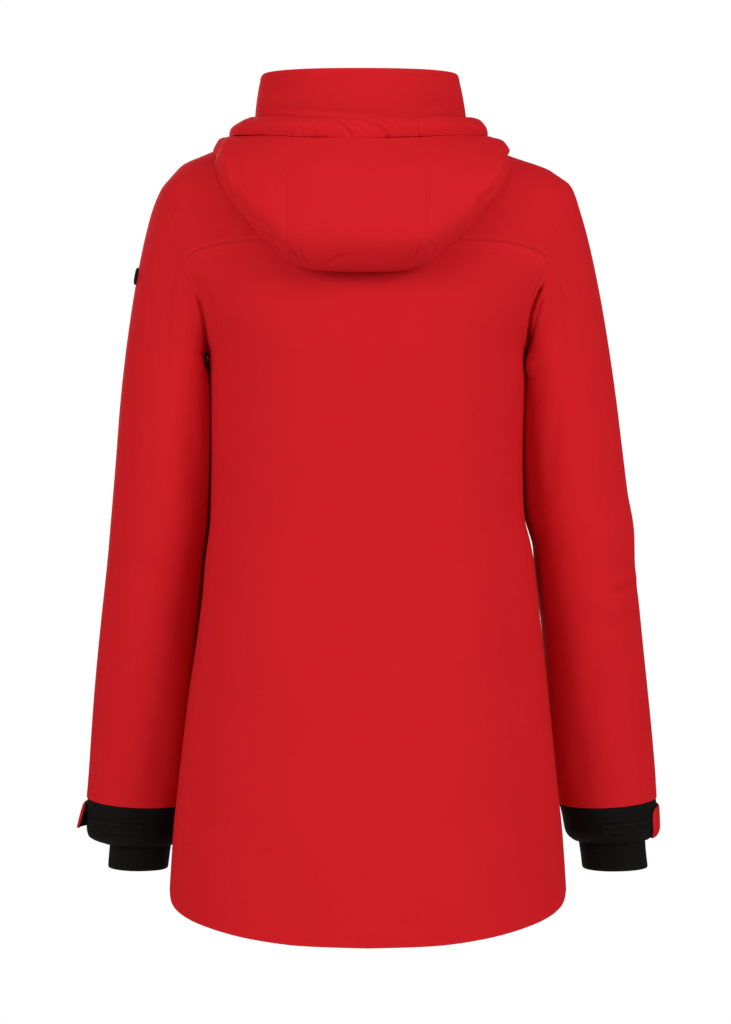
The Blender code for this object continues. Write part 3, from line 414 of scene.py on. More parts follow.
bodyForm = {
    "columns": ("level", "halfWidth", "back", "front", "backDrop", "frontDrop", "square"),
    "rings": [
        (0.0700, 0.0960, 0.0770, 0.0820, 0.0030, 0.0100, 2.00),
        (0.0545, 0.0985, 0.0785, 0.0840, 0.0030, 0.0120, 2.00),
        (0.0200, 0.1045, 0.0800, 0.0880, 0.0080, 0.0320, 2.00),
        (-0.0120, 0.1075, 0.0820, 0.0930, 0.0140, 0.0540, 2.00),
        (-0.0180, 0.1240, 0.0900, 0.0980, 0.0160, 0.0580, 2.00),
        (-0.0300, 0.1550, 0.1010, 0.1060, 0.0190, 0.0600, 2.05),
        (-0.0405, 0.1815, 0.1110, 0.1130, 0.0220, 0.0580, 2.10),
        (-0.0550, 0.2020, 0.1170, 0.1180, 0.0230, 0.0540, 2.12),
        (-0.0700, 0.2125, 0.1200, 0.1210, 0.0220, 0.0480, 2.10),
        (-0.1000, 0.2240, 0.1240, 0.1260, 0.0150, 0.0340, 2.05),
        (-0.1400, 0.2200, 0.1280, 0.1320, 0.0050, 0.0160, 2.02),
        (-0.1700, 0.1990, 0.1290, 0.1360, 0.0010, 0.0050, 2.06),
        (-0.1900, 0.1835, 0.1290, 0.1370, 0.0000, 0.0020, 2.12),
        (-0.2100, 0.1680, 0.1285, 0.1370, 0.0000, 0.0000, 2.20),
        (-0.2250, 0.1595, 0.1280, 0.1365, 0.0000, 0.0000, 2.26),
        (-0.2450, 0.1560, 0.1270, 0.1350, 0.0000, 0.0000, 2.28),
        (-0.2700, 0.1550, 0.1255, 0.1320, 0.0000, 0.0000, 2.28),
        (-0.3300, 0.1545, 0.1220, 0.1260, 0.0000, 0.0000, 2.25),
        (-0.3850, 0.1560, 0.1205, 0.1230, 0.0000, 0.0000, 2.25),
        (-0.4300, 0.1620, 0.1215, 0.1230, 0.0000, 0.0000, 2.25),
        (-0.4850, 0.1685, 0.1235, 0.1245, 0.0000, 0.0000, 2.25),
        (-0.5700, 0.1790, 0.1275, 0.1280, 0.0000, 0.0000, 2.20),
        (-0.6500, 0.1880, 0.1310, 0.1315, 0.0000, 0.0000, 2.20),
        (-0.7000, 0.1935, 0.1330, 0.1335, 0.0000, 0.0000, 2.20),
        (-0.7620, 0.1980, 0.1355, 0.1360, 0.0000, 0.0000, 2.20),
        (-0.8200, 0.2020, 0.1375, 0.1380, 0.0000, 0.0000, 2.20),
    ],
    "hem": [
        (0, -0.8000), (16, -0.7985), (31, -0.7940), (47, -0.7865), (64, -0.7770), (76, -0.7680),
        (84, -0.7580), (90, -0.7540), (98, -0.7590), (112, -0.7690), (135, -0.7750), (180, -0.7770),
    ],
    "hemLevel": -0.762,
    "neckLevel": -0.012,
    "neckLean": 0.007,
    "leanStart": -0.050,
    "leanFade": 0.80,
}
armholeCut = {
    "level": -0.140,
    "halfHeight": 0.085,
    "halfSpread": 38.0,
    "yokeSeamTurn": 85,
    "yokeRise": 0.030,
    "yokeBend": 1.45,
    "shoulderLevels": [-0.0120, -0.0150, -0.0195, -0.0270, -0.0355, -0.0455],
    "fade": 0.030,
    "fadeSteps": 60,
}


def curveThrough(keys, values):
    # smooth, without overshoot, and straight on beyond its ends
    order = np.argsort(keys)
    keys = np.asarray(keys, float)[order]
    values = np.asarray(values, float)[order]
    steps = np.diff(keys)
    rises = np.diff(values) / steps
    slopes = np.empty(len(keys))
    slopes[0], slopes[-1] = rises[0], rises[-1]
    for i in range(1, len(rises)):
        before, after = rises[i - 1], rises[i]
        slopes[i] = 0 if before * after <= 0 else 2 * before * after / (before + after)

    def read(key):
        key = np.asarray(key, float)
        i = np.clip(np.searchsorted(keys, key) - 1, 0, len(keys) - 2)
        step = keys[i + 1] - keys[i]
        t = (key - keys[i]) / step
        inside = np.clip(t, 0, 1)
        value = values[i] * (1 + 2 * inside) * (1 - inside) ** 2
        value = value + values[i + 1] * inside**2 * (3 - 2 * inside)
        value = value + slopes[i] * step * inside * (1 - inside) ** 2
        value = value + slopes[i + 1] * step * inside**2 * (inside - 1)
        return value + np.where(t < 0, slopes[i], slopes[i + 1]) * (t - inside) * step

    return read


def curvesOf(columns, rows):
    keys = [row[0] for row in rows]
    return {name: curveThrough(keys, [row[i] for row in rows]) for i, name in enumerate(columns) if i}


bodyCurve = curvesOf(bodyForm["columns"], bodyForm["rings"])
hemCurve = curvesOf(("angle", "height"), bodyForm["hem"])["height"]


def unit(vectors):
    length = np.linalg.norm(vectors, axis=-1, keepdims=True)
    return vectors / np.maximum(length, 1e-12)


def ease(part):
    part = np.clip(part, 0, 1)
    return part * part * (3 - 2 * part)


def lean(level, cosine=1.0):
    height = ease((level - bodyForm["leanStart"]) / (bodyForm["neckLevel"] - bodyForm["leanStart"]))
    return bodyForm["neckLean"] * height * ease((1 + cosine) / bodyForm["leanFade"])


def bodyPoint(angle, level):
    angle = np.radians(np.asarray(angle, float))
    level = np.asarray(level, float)
    sine, cosine = np.sin(angle), np.cos(angle)
    power = 2 / bodyCurve["square"](level)
    depth = np.where(cosine >= 0, bodyCurve["back"](level), bodyCurve["front"](level))
    drop = np.where(cosine >= 0, bodyCurve["backDrop"](level), bodyCurve["frontDrop"](level))
    x = bodyCurve["halfWidth"](level) * np.sign(sine) * np.abs(sine) ** power + lean(level, cosine)
    y = depth * np.sign(cosine) * np.abs(cosine) ** power
    return np.stack([x, y, level - drop * cosine**2], axis=-1)


def bodyNormal(angle, level):
    turn = 0.35
    step = 0.0015
    across = bodyPoint(angle + turn, level) - bodyPoint(angle - turn, level)
    down = bodyPoint(angle, level - step) - bodyPoint(angle, level + step)
    return unit(np.cross(across, down))


def angleAt(reach, level):
    ratio = reach / bodyCurve["halfWidth"](level)
    return np.degrees(np.arcsin(np.clip(ratio, 0, 1) ** (bodyCurve["square"](level) / 2)))


def armhole(turn, grow=0.0):
    turn = np.radians(np.asarray(turn, float))
    angle = 90 - armholeCut["halfSpread"] * (1 + grow) * np.sin(turn)
    level = armholeCut["level"] + armholeCut["halfHeight"] * (1 + grow) * np.cos(turn)
    return angle, level


# cloth pieces as thin shells


edgeSteps = (0.18, 0.5)
waveForm = {"count": 9, "spread": (0.7, 1.7)}
troughForm = {
    "steps": 25,
    "endPart": 0.02,
    "taper": 0.7,
    "even": 0.9,
    # in widths of the trough
    "pastEnds": 2,
    "reach": 6,
    "lipAt": 1.6,
    "lipWidth": 1.1,
}


def fineParts(count, start=True, end=True):
    # even steps from 0 to 1, closer together at the ends where the edge rolls in
    parts = list(np.linspace(0, 1, count + 1))
    first, second = edgeSteps
    if start:
        parts[1:1] = [first / count, second / count]
    if end:
        parts[-1:-1] = [1 - second / count, 1 - first / count]
    return np.array(parts)


def closedRing(grid):
    return np.concatenate([grid, grid[:, :1]], axis=1)


def arcAlong(points, axis):
    step = np.linalg.norm(np.diff(points, axis=axis), axis=-1)
    zero = np.zeros_like(np.take(step, [0], axis=axis))
    return np.cumsum(np.concatenate([zero, step], axis=axis), axis=axis)


def rollEdges(points, normals, sides, depth=0.0003, width=0.0022):
    # edges dip in, so that two pieces meet in a soft groove and free edges look rounded
    down = arcAlong(points, 0)
    across = arcAlong(points, 1)
    away = {
        "top": down,
        "bottom": down[-1:] - down,
        "left": across,
        "right": across[:, -1:] - across,
    }
    dip = np.zeros(points.shape[:2])
    for side in sides:
        dip = np.maximum(dip, np.clip(1 - away[side] / width, 0, 1) ** 2)
    return points - normals * (dip * depth)[..., None]


def waveHeight(points, seed, size, tall, amount):
    # soft unevenness from a few long waves; tall stretches them upwards
    random = np.random.RandomState(seed)
    height = np.zeros(points.shape[:-1])
    for _ in range(waveForm["count"]):
        way = unit(random.normal(size=3))
        way = way * np.array([1, 1, 1 / tall]) * 2 * math.pi / (size * random.uniform(*waveForm["spread"]))
        height += np.cos(points @ way + random.uniform(0, 2 * math.pi))
    return height * amount / math.sqrt(waveForm["count"])


def onGrid(points, across, down):
    # a place on a grid of points, by parts of its width and length
    rows, columns = points.shape[:2]
    lengths = arcAlong(points[:, columns // 2], 0)
    row = np.interp(np.asarray(down) * lengths[-1], lengths, np.arange(rows))
    column = np.clip(np.asarray(across), 0, 1) * (columns - 1)
    r0 = np.clip(row.astype(int), 0, rows - 2)
    c0 = np.clip(column.astype(int), 0, columns - 2)
    fr, fc = (row - r0)[:, None], (column - c0)[:, None]
    upper = points[r0, c0] * (1 - fc) + points[r0, c0 + 1] * fc
    lower = points[r0 + 1, c0] * (1 - fc) + points[r0 + 1, c0 + 1] * fc
    return upper * (1 - fr) + lower * fr


def ridge(points, normals, path, width, depth, lip, even=0.0):
    # a soft trough along a path on the cloth, with a lip beside it; even holds its full depth that far
    tangent = unit(np.gradient(path, axis=0))
    near = np.full(points.shape[:2], farAway)
    best = np.zeros(points.shape[:2], int)
    for i, at in enumerate(path):
        gap = ((points - at) ** 2).sum(-1)
        best = np.where(gap < near, i, best)
        near = np.minimum(near, gap)
    away = points - path[best]
    along = (away * tangent[best]).sum(-1)
    across = (away * np.cross(normals, tangent[best])).sum(-1)
    form = troughForm
    part = np.clip(best / (len(path) - 1), form["endPart"], 1 - form["endPart"])
    taper = np.sin(math.pi * part) ** form["taper"]
    taper = np.minimum(1, taper / (1 - form["even"] * even))
    fade = taper * np.exp(-((along / (form["pastEnds"] * width)) ** 2))
    fade = fade * (near < (form["reach"] * width) ** 2)
    beyond = (across - form["lipAt"] * width) / (form["lipWidth"] * width)
    return depth * (lip * np.exp(-(beyond**2)) - np.exp(-((across / width) ** 2))) * fade


def bowed(start, end, bow):
    t = np.linspace(0, 1, troughForm["steps"])
    start, end = np.array(start, float), np.array(end, float)
    side = np.array([end[1] - start[1], start[0] - end[0]])
    return start[:, None] * (1 - t) + end[:, None] * t + side[:, None] * bow * np.sin(math.pi * t)


def creaseHeight(points, normals, creases):
    # each crease: start and end as (across, down), bow, width, depth, lip beside it
    height = np.zeros(points.shape[:2])
    for start, end, bow, width, depth, lip in creases:
        way = bowed(start, end, bow)
        height += ridge(points, normals, onGrid(points, way[0], way[1]), width, depth, lip)
    return height


def seenHeight(points, normals, creases):
    # the same, but start and end are (x, height) as seen from behind
    height = np.zeros(points.shape[:2])
    facing = points[normals[..., 1] > 0.05]
    for start, end, bow, width, depth, lip in creases:
        path = []
        for x, z in bowed(start, end, bow).T:
            gap = (facing[:, 0] - x) ** 2 + (facing[:, 2] - z) ** 2
            near = np.argsort(gap)[:6]
            weight = 1 / (gap[near] + 1e-8)
            path.append((x, (facing[near, 1] * weight).sum() / weight.sum(), z))
        height += ridge(points, normals, np.array(path), width, depth, lip)
    return height


def gridFaces(rows, columns, ring):
    last = columns if ring else columns - 1
    row, column = np.meshgrid(np.arange(rows - 1), np.arange(last), indexing="ij")
    beside = (column + 1) % columns
    a = (row * columns + column).ravel()
    b = (row * columns + beside).ravel()
    return np.stack([a, b, b + columns, a + columns], axis=1)


def clothUv(points):
    across = arcAlong(points, 1)
    down = arcAlong(points, 0)
    middle = points.shape[1] // 2
    return np.stack([across - across[:, middle : middle + 1], -down], axis=-1)


def smoothMesh(name, points, faces, materials, indices=None, uv=None):
    mesh = bpy.data.meshes.new(name)
    mesh.from_pydata(np.asarray(points).reshape(-1, 3).tolist(), [], [tuple(f) for f in faces])
    mesh.polygons.foreach_set("use_smooth", np.ones(len(mesh.polygons), bool))
    if uv is not None:
        layer = mesh.uv_layers.new(name="cloth")
        corner = np.empty(len(mesh.loops), int)
        mesh.loops.foreach_get("vertex_index", corner)
        layer.data.foreach_set("uv", np.asarray(uv, float).reshape(-1, 2)[corner].ravel())
    for material in materials:
        mesh.materials.append(material)
    if indices is not None:
        mesh.polygons.foreach_set("material_index", np.asarray(indices, int))
    mesh.update()
    made = bpy.data.objects.new(name, mesh)
    scene.collection.objects.link(made)
    return made


def shell(name, outer, normals, face="shell", back="back", thick=None, ring=False):
    # a closed thin wall: the outer face, the back of the cloth and the cut edges between them
    thick = clothThickness if thick is None else thick
    inner = outer - normals * thick
    rows, columns = outer.shape[:2]
    count = rows * columns
    if ring:
        uv = clothUv(closedRing(outer))[:, :-1]
    else:
        uv = clothUv(outer)
    quads = gridFaces(rows, columns, ring)
    last = columns if ring else columns - 1
    column = np.arange(last)
    beside = (column + 1) % columns
    low = (rows - 1) * columns
    rims = [
        np.stack([column, column + count, beside + count, beside], axis=1),
        np.stack([low + column, low + beside, low + beside + count, low + column + count], axis=1),
    ]
    if not ring:
        row = np.arange(rows - 1)
        a, b = row * columns, (row + 1) * columns
        rims.append(np.stack([a, b, b + count, a + count], axis=1))
        a, b = a + columns - 1, b + columns - 1
        rims.append(np.stack([a, a + count, b + count, b], axis=1))
    rims = np.concatenate(rims)
    backs = quads[:, ::-1] + count
    faces = np.concatenate([quads, rims, backs])
    middle = (rows // 2) * (columns - 1 if not ring else columns) + columns // 3
    a, b, c = (outer.reshape(-1, 3)[i] for i in quads[middle][:3])
    if np.dot(np.cross(b - a, c - b), normals.reshape(-1, 3)[quads[middle][0]]) < 0:
        faces = faces[:, ::-1]
    indices = np.zeros(len(faces), int)
    indices[len(quads) + len(rims) :] = 1
    points = np.concatenate([outer.reshape(-1, 3), inner.reshape(-1, 3)])
    uv = np.concatenate([uv.reshape(-1, 2), uv.reshape(-1, 2)])
    return smoothMesh(name, points, faces, [looks[face], looks[back]], indices, uv)


leastFill = 0.4  # of its flat rectangle


def declareCloth(points, ring=False):
    # the flat cut of what shows, all round on a tube
    if ring:
        points = closedRing(points)
    a, b = points[:-1, :-1], points[1:, :-1]
    c, d = points[1:, 1:], points[:-1, 1:]
    area = np.linalg.norm(np.cross(c - a, d - b), axis=-1).sum() / 2
    width = arcAlong(points, 1)[:, -1].max()
    length = arcAlong(points, 0)[-1].max()
    if area < leastFill * width * length:  # a crescent's width is taken across it
        width = area / (leastFill * length)
    area = min(float(area), width * length)


def fit(piece, slot, *nodes):
    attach(piece, jacket)
    if nodes:
        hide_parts(*nodes)


# the body panels

bodyWaves = {"seed": 5, "size": 0.16, "tall": 2.6, "amount": 0.0010}
wavesBelow = (-0.02, 0.10)  # where the waves start under the neck, and how far they take to grow
# where the cloth swells out or falls in beside the arms: height and amount
sideSwell = {
    "spread": 26,
    "reach": (-0.65, -0.16),
    "left": [
        (-0.380, 0), (-0.430, -0.0012), (-0.470, -0.0026), (-0.510, -0.0024), (-0.560, -0.0010), (-0.620, 0),
    ],
    "right": [
        (-0.160, 0), (-0.200, 0.0019), (-0.235, 0.0037), (-0.280, 0.0025), (-0.330, 0.0009),
        (-0.370, 0.0008), (-0.390, 0.0018), (-0.412, 0.0042), (-0.435, 0.0050), (-0.480, 0.0042),
        (-0.530, 0.0030), (-0.590, 0.0012), (-0.650, 0),
    ],
}
shoulderParts = np.linspace(0, 1, 20)[:-1]
swellCurve = {side: curveThrough(*zip(*sideSwell[side])) for side in ("left", "right")}


def armholeEdge(turns):
    angle, level = armhole(turns, halfGap / armholeCut["halfHeight"])
    return np.minimum(angle, 90), level


def shoulderEdge(parts):
    levels = np.array(armholeCut["shoulderLevels"])
    levels[0] -= halfGap
    fine = np.interp(parts, np.linspace(0, 1, len(levels)), levels)
    return np.full(fine.shape, 90.0), fine


def yokeSeam(across, shift):
    end = armhole(armholeCut["yokeSeamTurn"])[1]
    return end + armholeCut["yokeRise"] * (1 - np.abs(across) ** armholeCut["yokeBend"]) + shift


def acrossBack(edge, across):
    return 90 * across - (90 - edge) * across * np.abs(across)


def armholeFade(points):
    # 0 at the armholes and 1 away from them, so that body and sleeve meet
    turns = np.linspace(0, 180, armholeCut["fadeSteps"])
    angle, level = armhole(turns)
    angles = np.concatenate([angle, 180 - angle])
    ring = bodyPoint(angles, np.concatenate([level, level]))
    ring = np.concatenate([ring, ring * np.array([-1, 1, 1])])
    near = np.full(points.shape[:2], farAway)
    for at in ring:
        near = np.minimum(near, ((points - at) ** 2).sum(-1))
    return ease(np.sqrt(near) / armholeCut["fade"])


def swell(angle, height):
    near = np.exp(-(((np.abs(angle) - 90) / sideSwell["spread"]) ** 2))
    inside = np.clip(height, *sideSwell["reach"])
    return near * np.where(angle > 0, swellCurve["left"](inside), swellCurve["right"](inside))


def bodyPanel(name, angle, level, creases, rolls, seen=()):
    points = bodyPoint(angle, level)
    normals = bodyNormal(angle, level)
    waveStart, waveGrowth = wavesBelow
    height = waveHeight(points, **bodyWaves) * ease((waveStart - points[..., 2]) / waveGrowth)
    height = height + creaseHeight(points, normals, creases) + swell(angle, points[..., 2])
    height = height * armholeFade(points)
    height = height + seenHeight(points, normals, seen)
    outer = points + normals * height[..., None]
    outer = rollEdges(outer, normals, rolls)
    return shell(name, outer, normals), outer


backPanel = {
    "columns": 104,
    "yokeRows": 30,
    "armholeRows": 24,
    "skirtRows": 140,
    # start, end, bow, width, depth, lip
    "creases": [
        ((0.10, 0.20), (0.17, 0.44), -0.05, 0.018, 0.0010, 0.5),
        ((0.24, 0.52), (0.20, 0.90), -0.03, 0.028, 0.0010, 0.5),
        ((0.62, 0.62), (0.66, 0.97), 0.04, 0.024, 0.0009, 0.5),
        ((0.42, 0.44), (0.56, 0.50), 0.10, 0.030, 0.0006, 0.4),
    ],
    # the same, but seen from behind: (x, height)
    "seen": [
        ((-0.128, -0.400), (-0.142, -0.640), 0.04, 0.022, 0.0018, 0.4),
        ((-0.146, -0.200), (-0.142, -0.300), 0.05, 0.010, 0.0008, 0.4),
        ((0.158, -0.160), (0.147, -0.205), 0.05, 0.0030, 0.0018, 0.3),
        ((-0.150, -0.640), (-0.158, -0.760), 0.03, 0.016, 0.0010, 0.4),
    ],
}


def makeBack(look):
    # yoke
    angleTop, levelTop = shoulderEdge(shoulderParts)
    angleLow, levelLow = armholeEdge(np.linspace(0, armholeCut["yokeSeamTurn"], look["yokeRows"]))
    edgeAngle = np.concatenate([angleTop, angleLow])
    edgeLevel = np.concatenate([levelTop, levelLow])
    across = 2 * fineParts(look["columns"]) - 1
    part = (edgeLevel[0] - edgeLevel) / (edgeLevel[0] - edgeLevel[-1])
    lift = yokeSeam(across, halfGap) - edgeLevel[-1]
    angle = acrossBack(edgeAngle[:, None], across[None, :])
    level = edgeLevel[:, None] + part[:, None] * lift[None, :]
    yoke, face = bodyPanel("backYokeCloth", angle, level, [], ("top", "bottom", "left", "right"))
    fit(yoke, "shell_cloth", "back_yoke")
    declareCloth(face)
    # back panel
    turns = np.linspace(armholeCut["yokeSeamTurn"], 180, look["armholeRows"])
    edgeAngle, edgeLevel = armholeEdge(turns)
    start = edgeLevel[-1]
    part = (edgeLevel[0] - edgeLevel) / (edgeLevel[0] - edgeLevel[-1])
    lift = yokeSeam(across, -halfGap) - edgeLevel[0]
    angles = [acrossBack(edgeAngle[:, None], across[None, :])]
    levels = [edgeLevel[:, None] + (1 - part)[:, None] * lift[None, :]]
    down = fineParts(look["skirtRows"], start=False)[1:]
    skirt = np.tile(90 * across, (len(down), 1))
    angles.append(skirt)
    levels.append(start + (hemCurve(np.abs(skirt)) - start) * down[:, None])
    angle, level = np.concatenate(angles), np.concatenate(levels)
    rolls = ("top", "left", "right")
    panel, face = bodyPanel("backCloth", angle, level, look["creases"], rolls, look["seen"])
    fit(panel, "shell_cloth", "back_panel")
    declareCloth(face)
    return yoke


frontPanels = {
    "columns": 60,
    "armholeRows": 54,
    "skirtRows": 140,
    "creases": [
        ((0.10, 0.22), (0.26, 0.40), 0.06, 0.018, 0.0015, 0.5),
        ((0.20, 0.55), (0.26, 0.93), -0.04, 0.026, 0.0013, 0.5),
        ((0.62, 0.50), (0.55, 0.95), 0.04, 0.028, 0.0011, 0.6),
        ((0.92, 0.36), (0.80, 0.52), 0.10, 0.014, 0.0010, 0.5),
        ((0.94, 0.60), (0.82, 0.70), -0.10, 0.015, 0.0009, 0.5),
        ((0.12, 0.13), (0.34, 0.20), 0.10, 0.013, 0.0012, 0.6),
    ],
    "tapeReach": 0.0145,
    "halfOpening": 0.0033,
    "layerGap": 0.0016,
    "closing": (0.35, 0.7, 0.9, 1.0),  # columns from the tape's edge to the opening
    # the right front's creases against the left's: bow, width and depth
    "rightCreases": (-0.7, 1.12, 0.9),
}


def frontRows(side, level, part, look):
    tape = 180 - angleAt(look["tapeReach"] + look["layerGap"], level)
    middle = 180 - angleAt(look["halfOpening"], level)
    even = 90 + (tape - 90) * part
    edge = even + (side - 90) * (1 - part) ** 2
    closing = tape + (middle - tape) * np.array(look["closing"])
    return np.concatenate([edge, closing])


def makeFronts(look):
    angleTop, levelTop = shoulderEdge(shoulderParts)
    angleLow, levelLow = armholeEdge(np.linspace(0, 180, look["armholeRows"]))
    edgeAngle = 180 - np.concatenate([angleTop, angleLow])
    edgeLevel = np.concatenate([levelTop, levelLow])
    part = fineParts(look["columns"], end=False)
    start = edgeLevel[-1]
    angles = [frontRows(side, level, part, look) for side, level in zip(edgeAngle, edgeLevel)]
    levels = [np.full(len(angles[0]), level) for level in edgeLevel]
    for down in fineParts(look["skirtRows"], start=False)[1:]:
        sideLevel = start + (bodyForm["hemLevel"] - start) * down
        angle = frontRows(90, sideLevel, part, look)
        angles.append(angle)
        levels.append(start + (hemCurve(angle) - start) * down)
    angle, level = np.array(angles), np.array(levels)
    byBow, byWidth, byDepth = look["rightCreases"]
    creases = {"left": look["creases"], "right": []}
    for head, foot, bow, width, depth, lip in look["creases"]:
        creases["right"].append((head, foot, bow * byBow, width * byWidth, depth * byDepth, lip))
    faces = []
    for side, sign in (("left", 1), ("right", -1)):
        panel, face = bodyPanel(side + "FrontCloth", sign * angle, level, creases[side], ("top", "left"))
        fit(panel, "shell_cloth", "front_" + side)
        declareCloth(face)
        faces.append(face)
    return faces


collarStand = {
    "rows": 34,
    "columns": 190,
    "top": 0.0545,
    "thick": 0.0022,
    "closing": (0.5, 0.85),
    "waves": {"seed": 21, "size": 0.07, "tall": 1.0, "amount": 0.0005},
    "topFade": 0.004,
    "topHeld": 0.3,
    "topRoll": (0.0009, 0.0035),
    "bottomRoll": (0.0008, 0.0030),
    "creases": [
        ((0.44, 0.60), (0.66, 0.53), 0.02, 0.0026, 0.0010, 1.0),
        ((0.30, 0.42), (0.44, 0.52), -0.05, 0.006, 0.0006, 0.6),
        ((0.60, 0.20), (0.70, 0.36), 0.06, 0.007, 0.0006, 0.6),
        ((0.10, 0.60), (0.24, 0.45), 0.08, 0.009, 0.0012, 0.6),
        ((0.78, 0.48), (0.92, 0.62), -0.08, 0.009, 0.0012, 0.6),
        ((0.44, 0.10), (0.52, 0.30), 0.10, 0.012, 0.0006, 0.5),
    ],
}


def makeCollar(look):
    down = fineParts(look["rows"])
    levels = look["top"] + (bodyForm["neckLevel"] + halfGap - look["top"]) * down
    reach = frontPanels["tapeReach"] + frontPanels["layerGap"]
    tape = 180 - angleAt(reach, levels)
    end = 180 - angleAt(frontPanels["halfOpening"], levels)
    across = np.linspace(-1, 1, look["columns"])
    right = tape[:, None] + (end - tape)[:, None] * np.array(look["closing"])
    angle = np.column_stack([-end, -right[:, ::-1], tape[:, None] * across[None, :], right, end])
    level = levels[:, None] + 0 * angle
    points = bodyPoint(angle, level)
    normals = bodyNormal(angle, level)
    height = waveHeight(points, **look["waves"]) + creaseHeight(points, normals, look["creases"])
    fade = ease((look["top"] - level) / look["topFade"]) * (1 - look["topHeld"]) + look["topHeld"]
    outer = points + normals * (height * fade)[..., None]
    outer = rollEdges(outer, normals, ("top",), *look["topRoll"])
    outer = rollEdges(outer, normals, ("bottom",), *look["bottomRoll"])
    piece = shell("collarCloth", outer, normals, back="shell", thick=look["thick"])
    fit(piece, "shell_cloth", "collar")
    declareCloth(outer)
    return outer


backYoke = makeBack(backPanel)
frontFaces = makeFronts(frontPanels)
collarFace = makeCollar(collarStand)
print("body panels and collar ready")


# sleeves

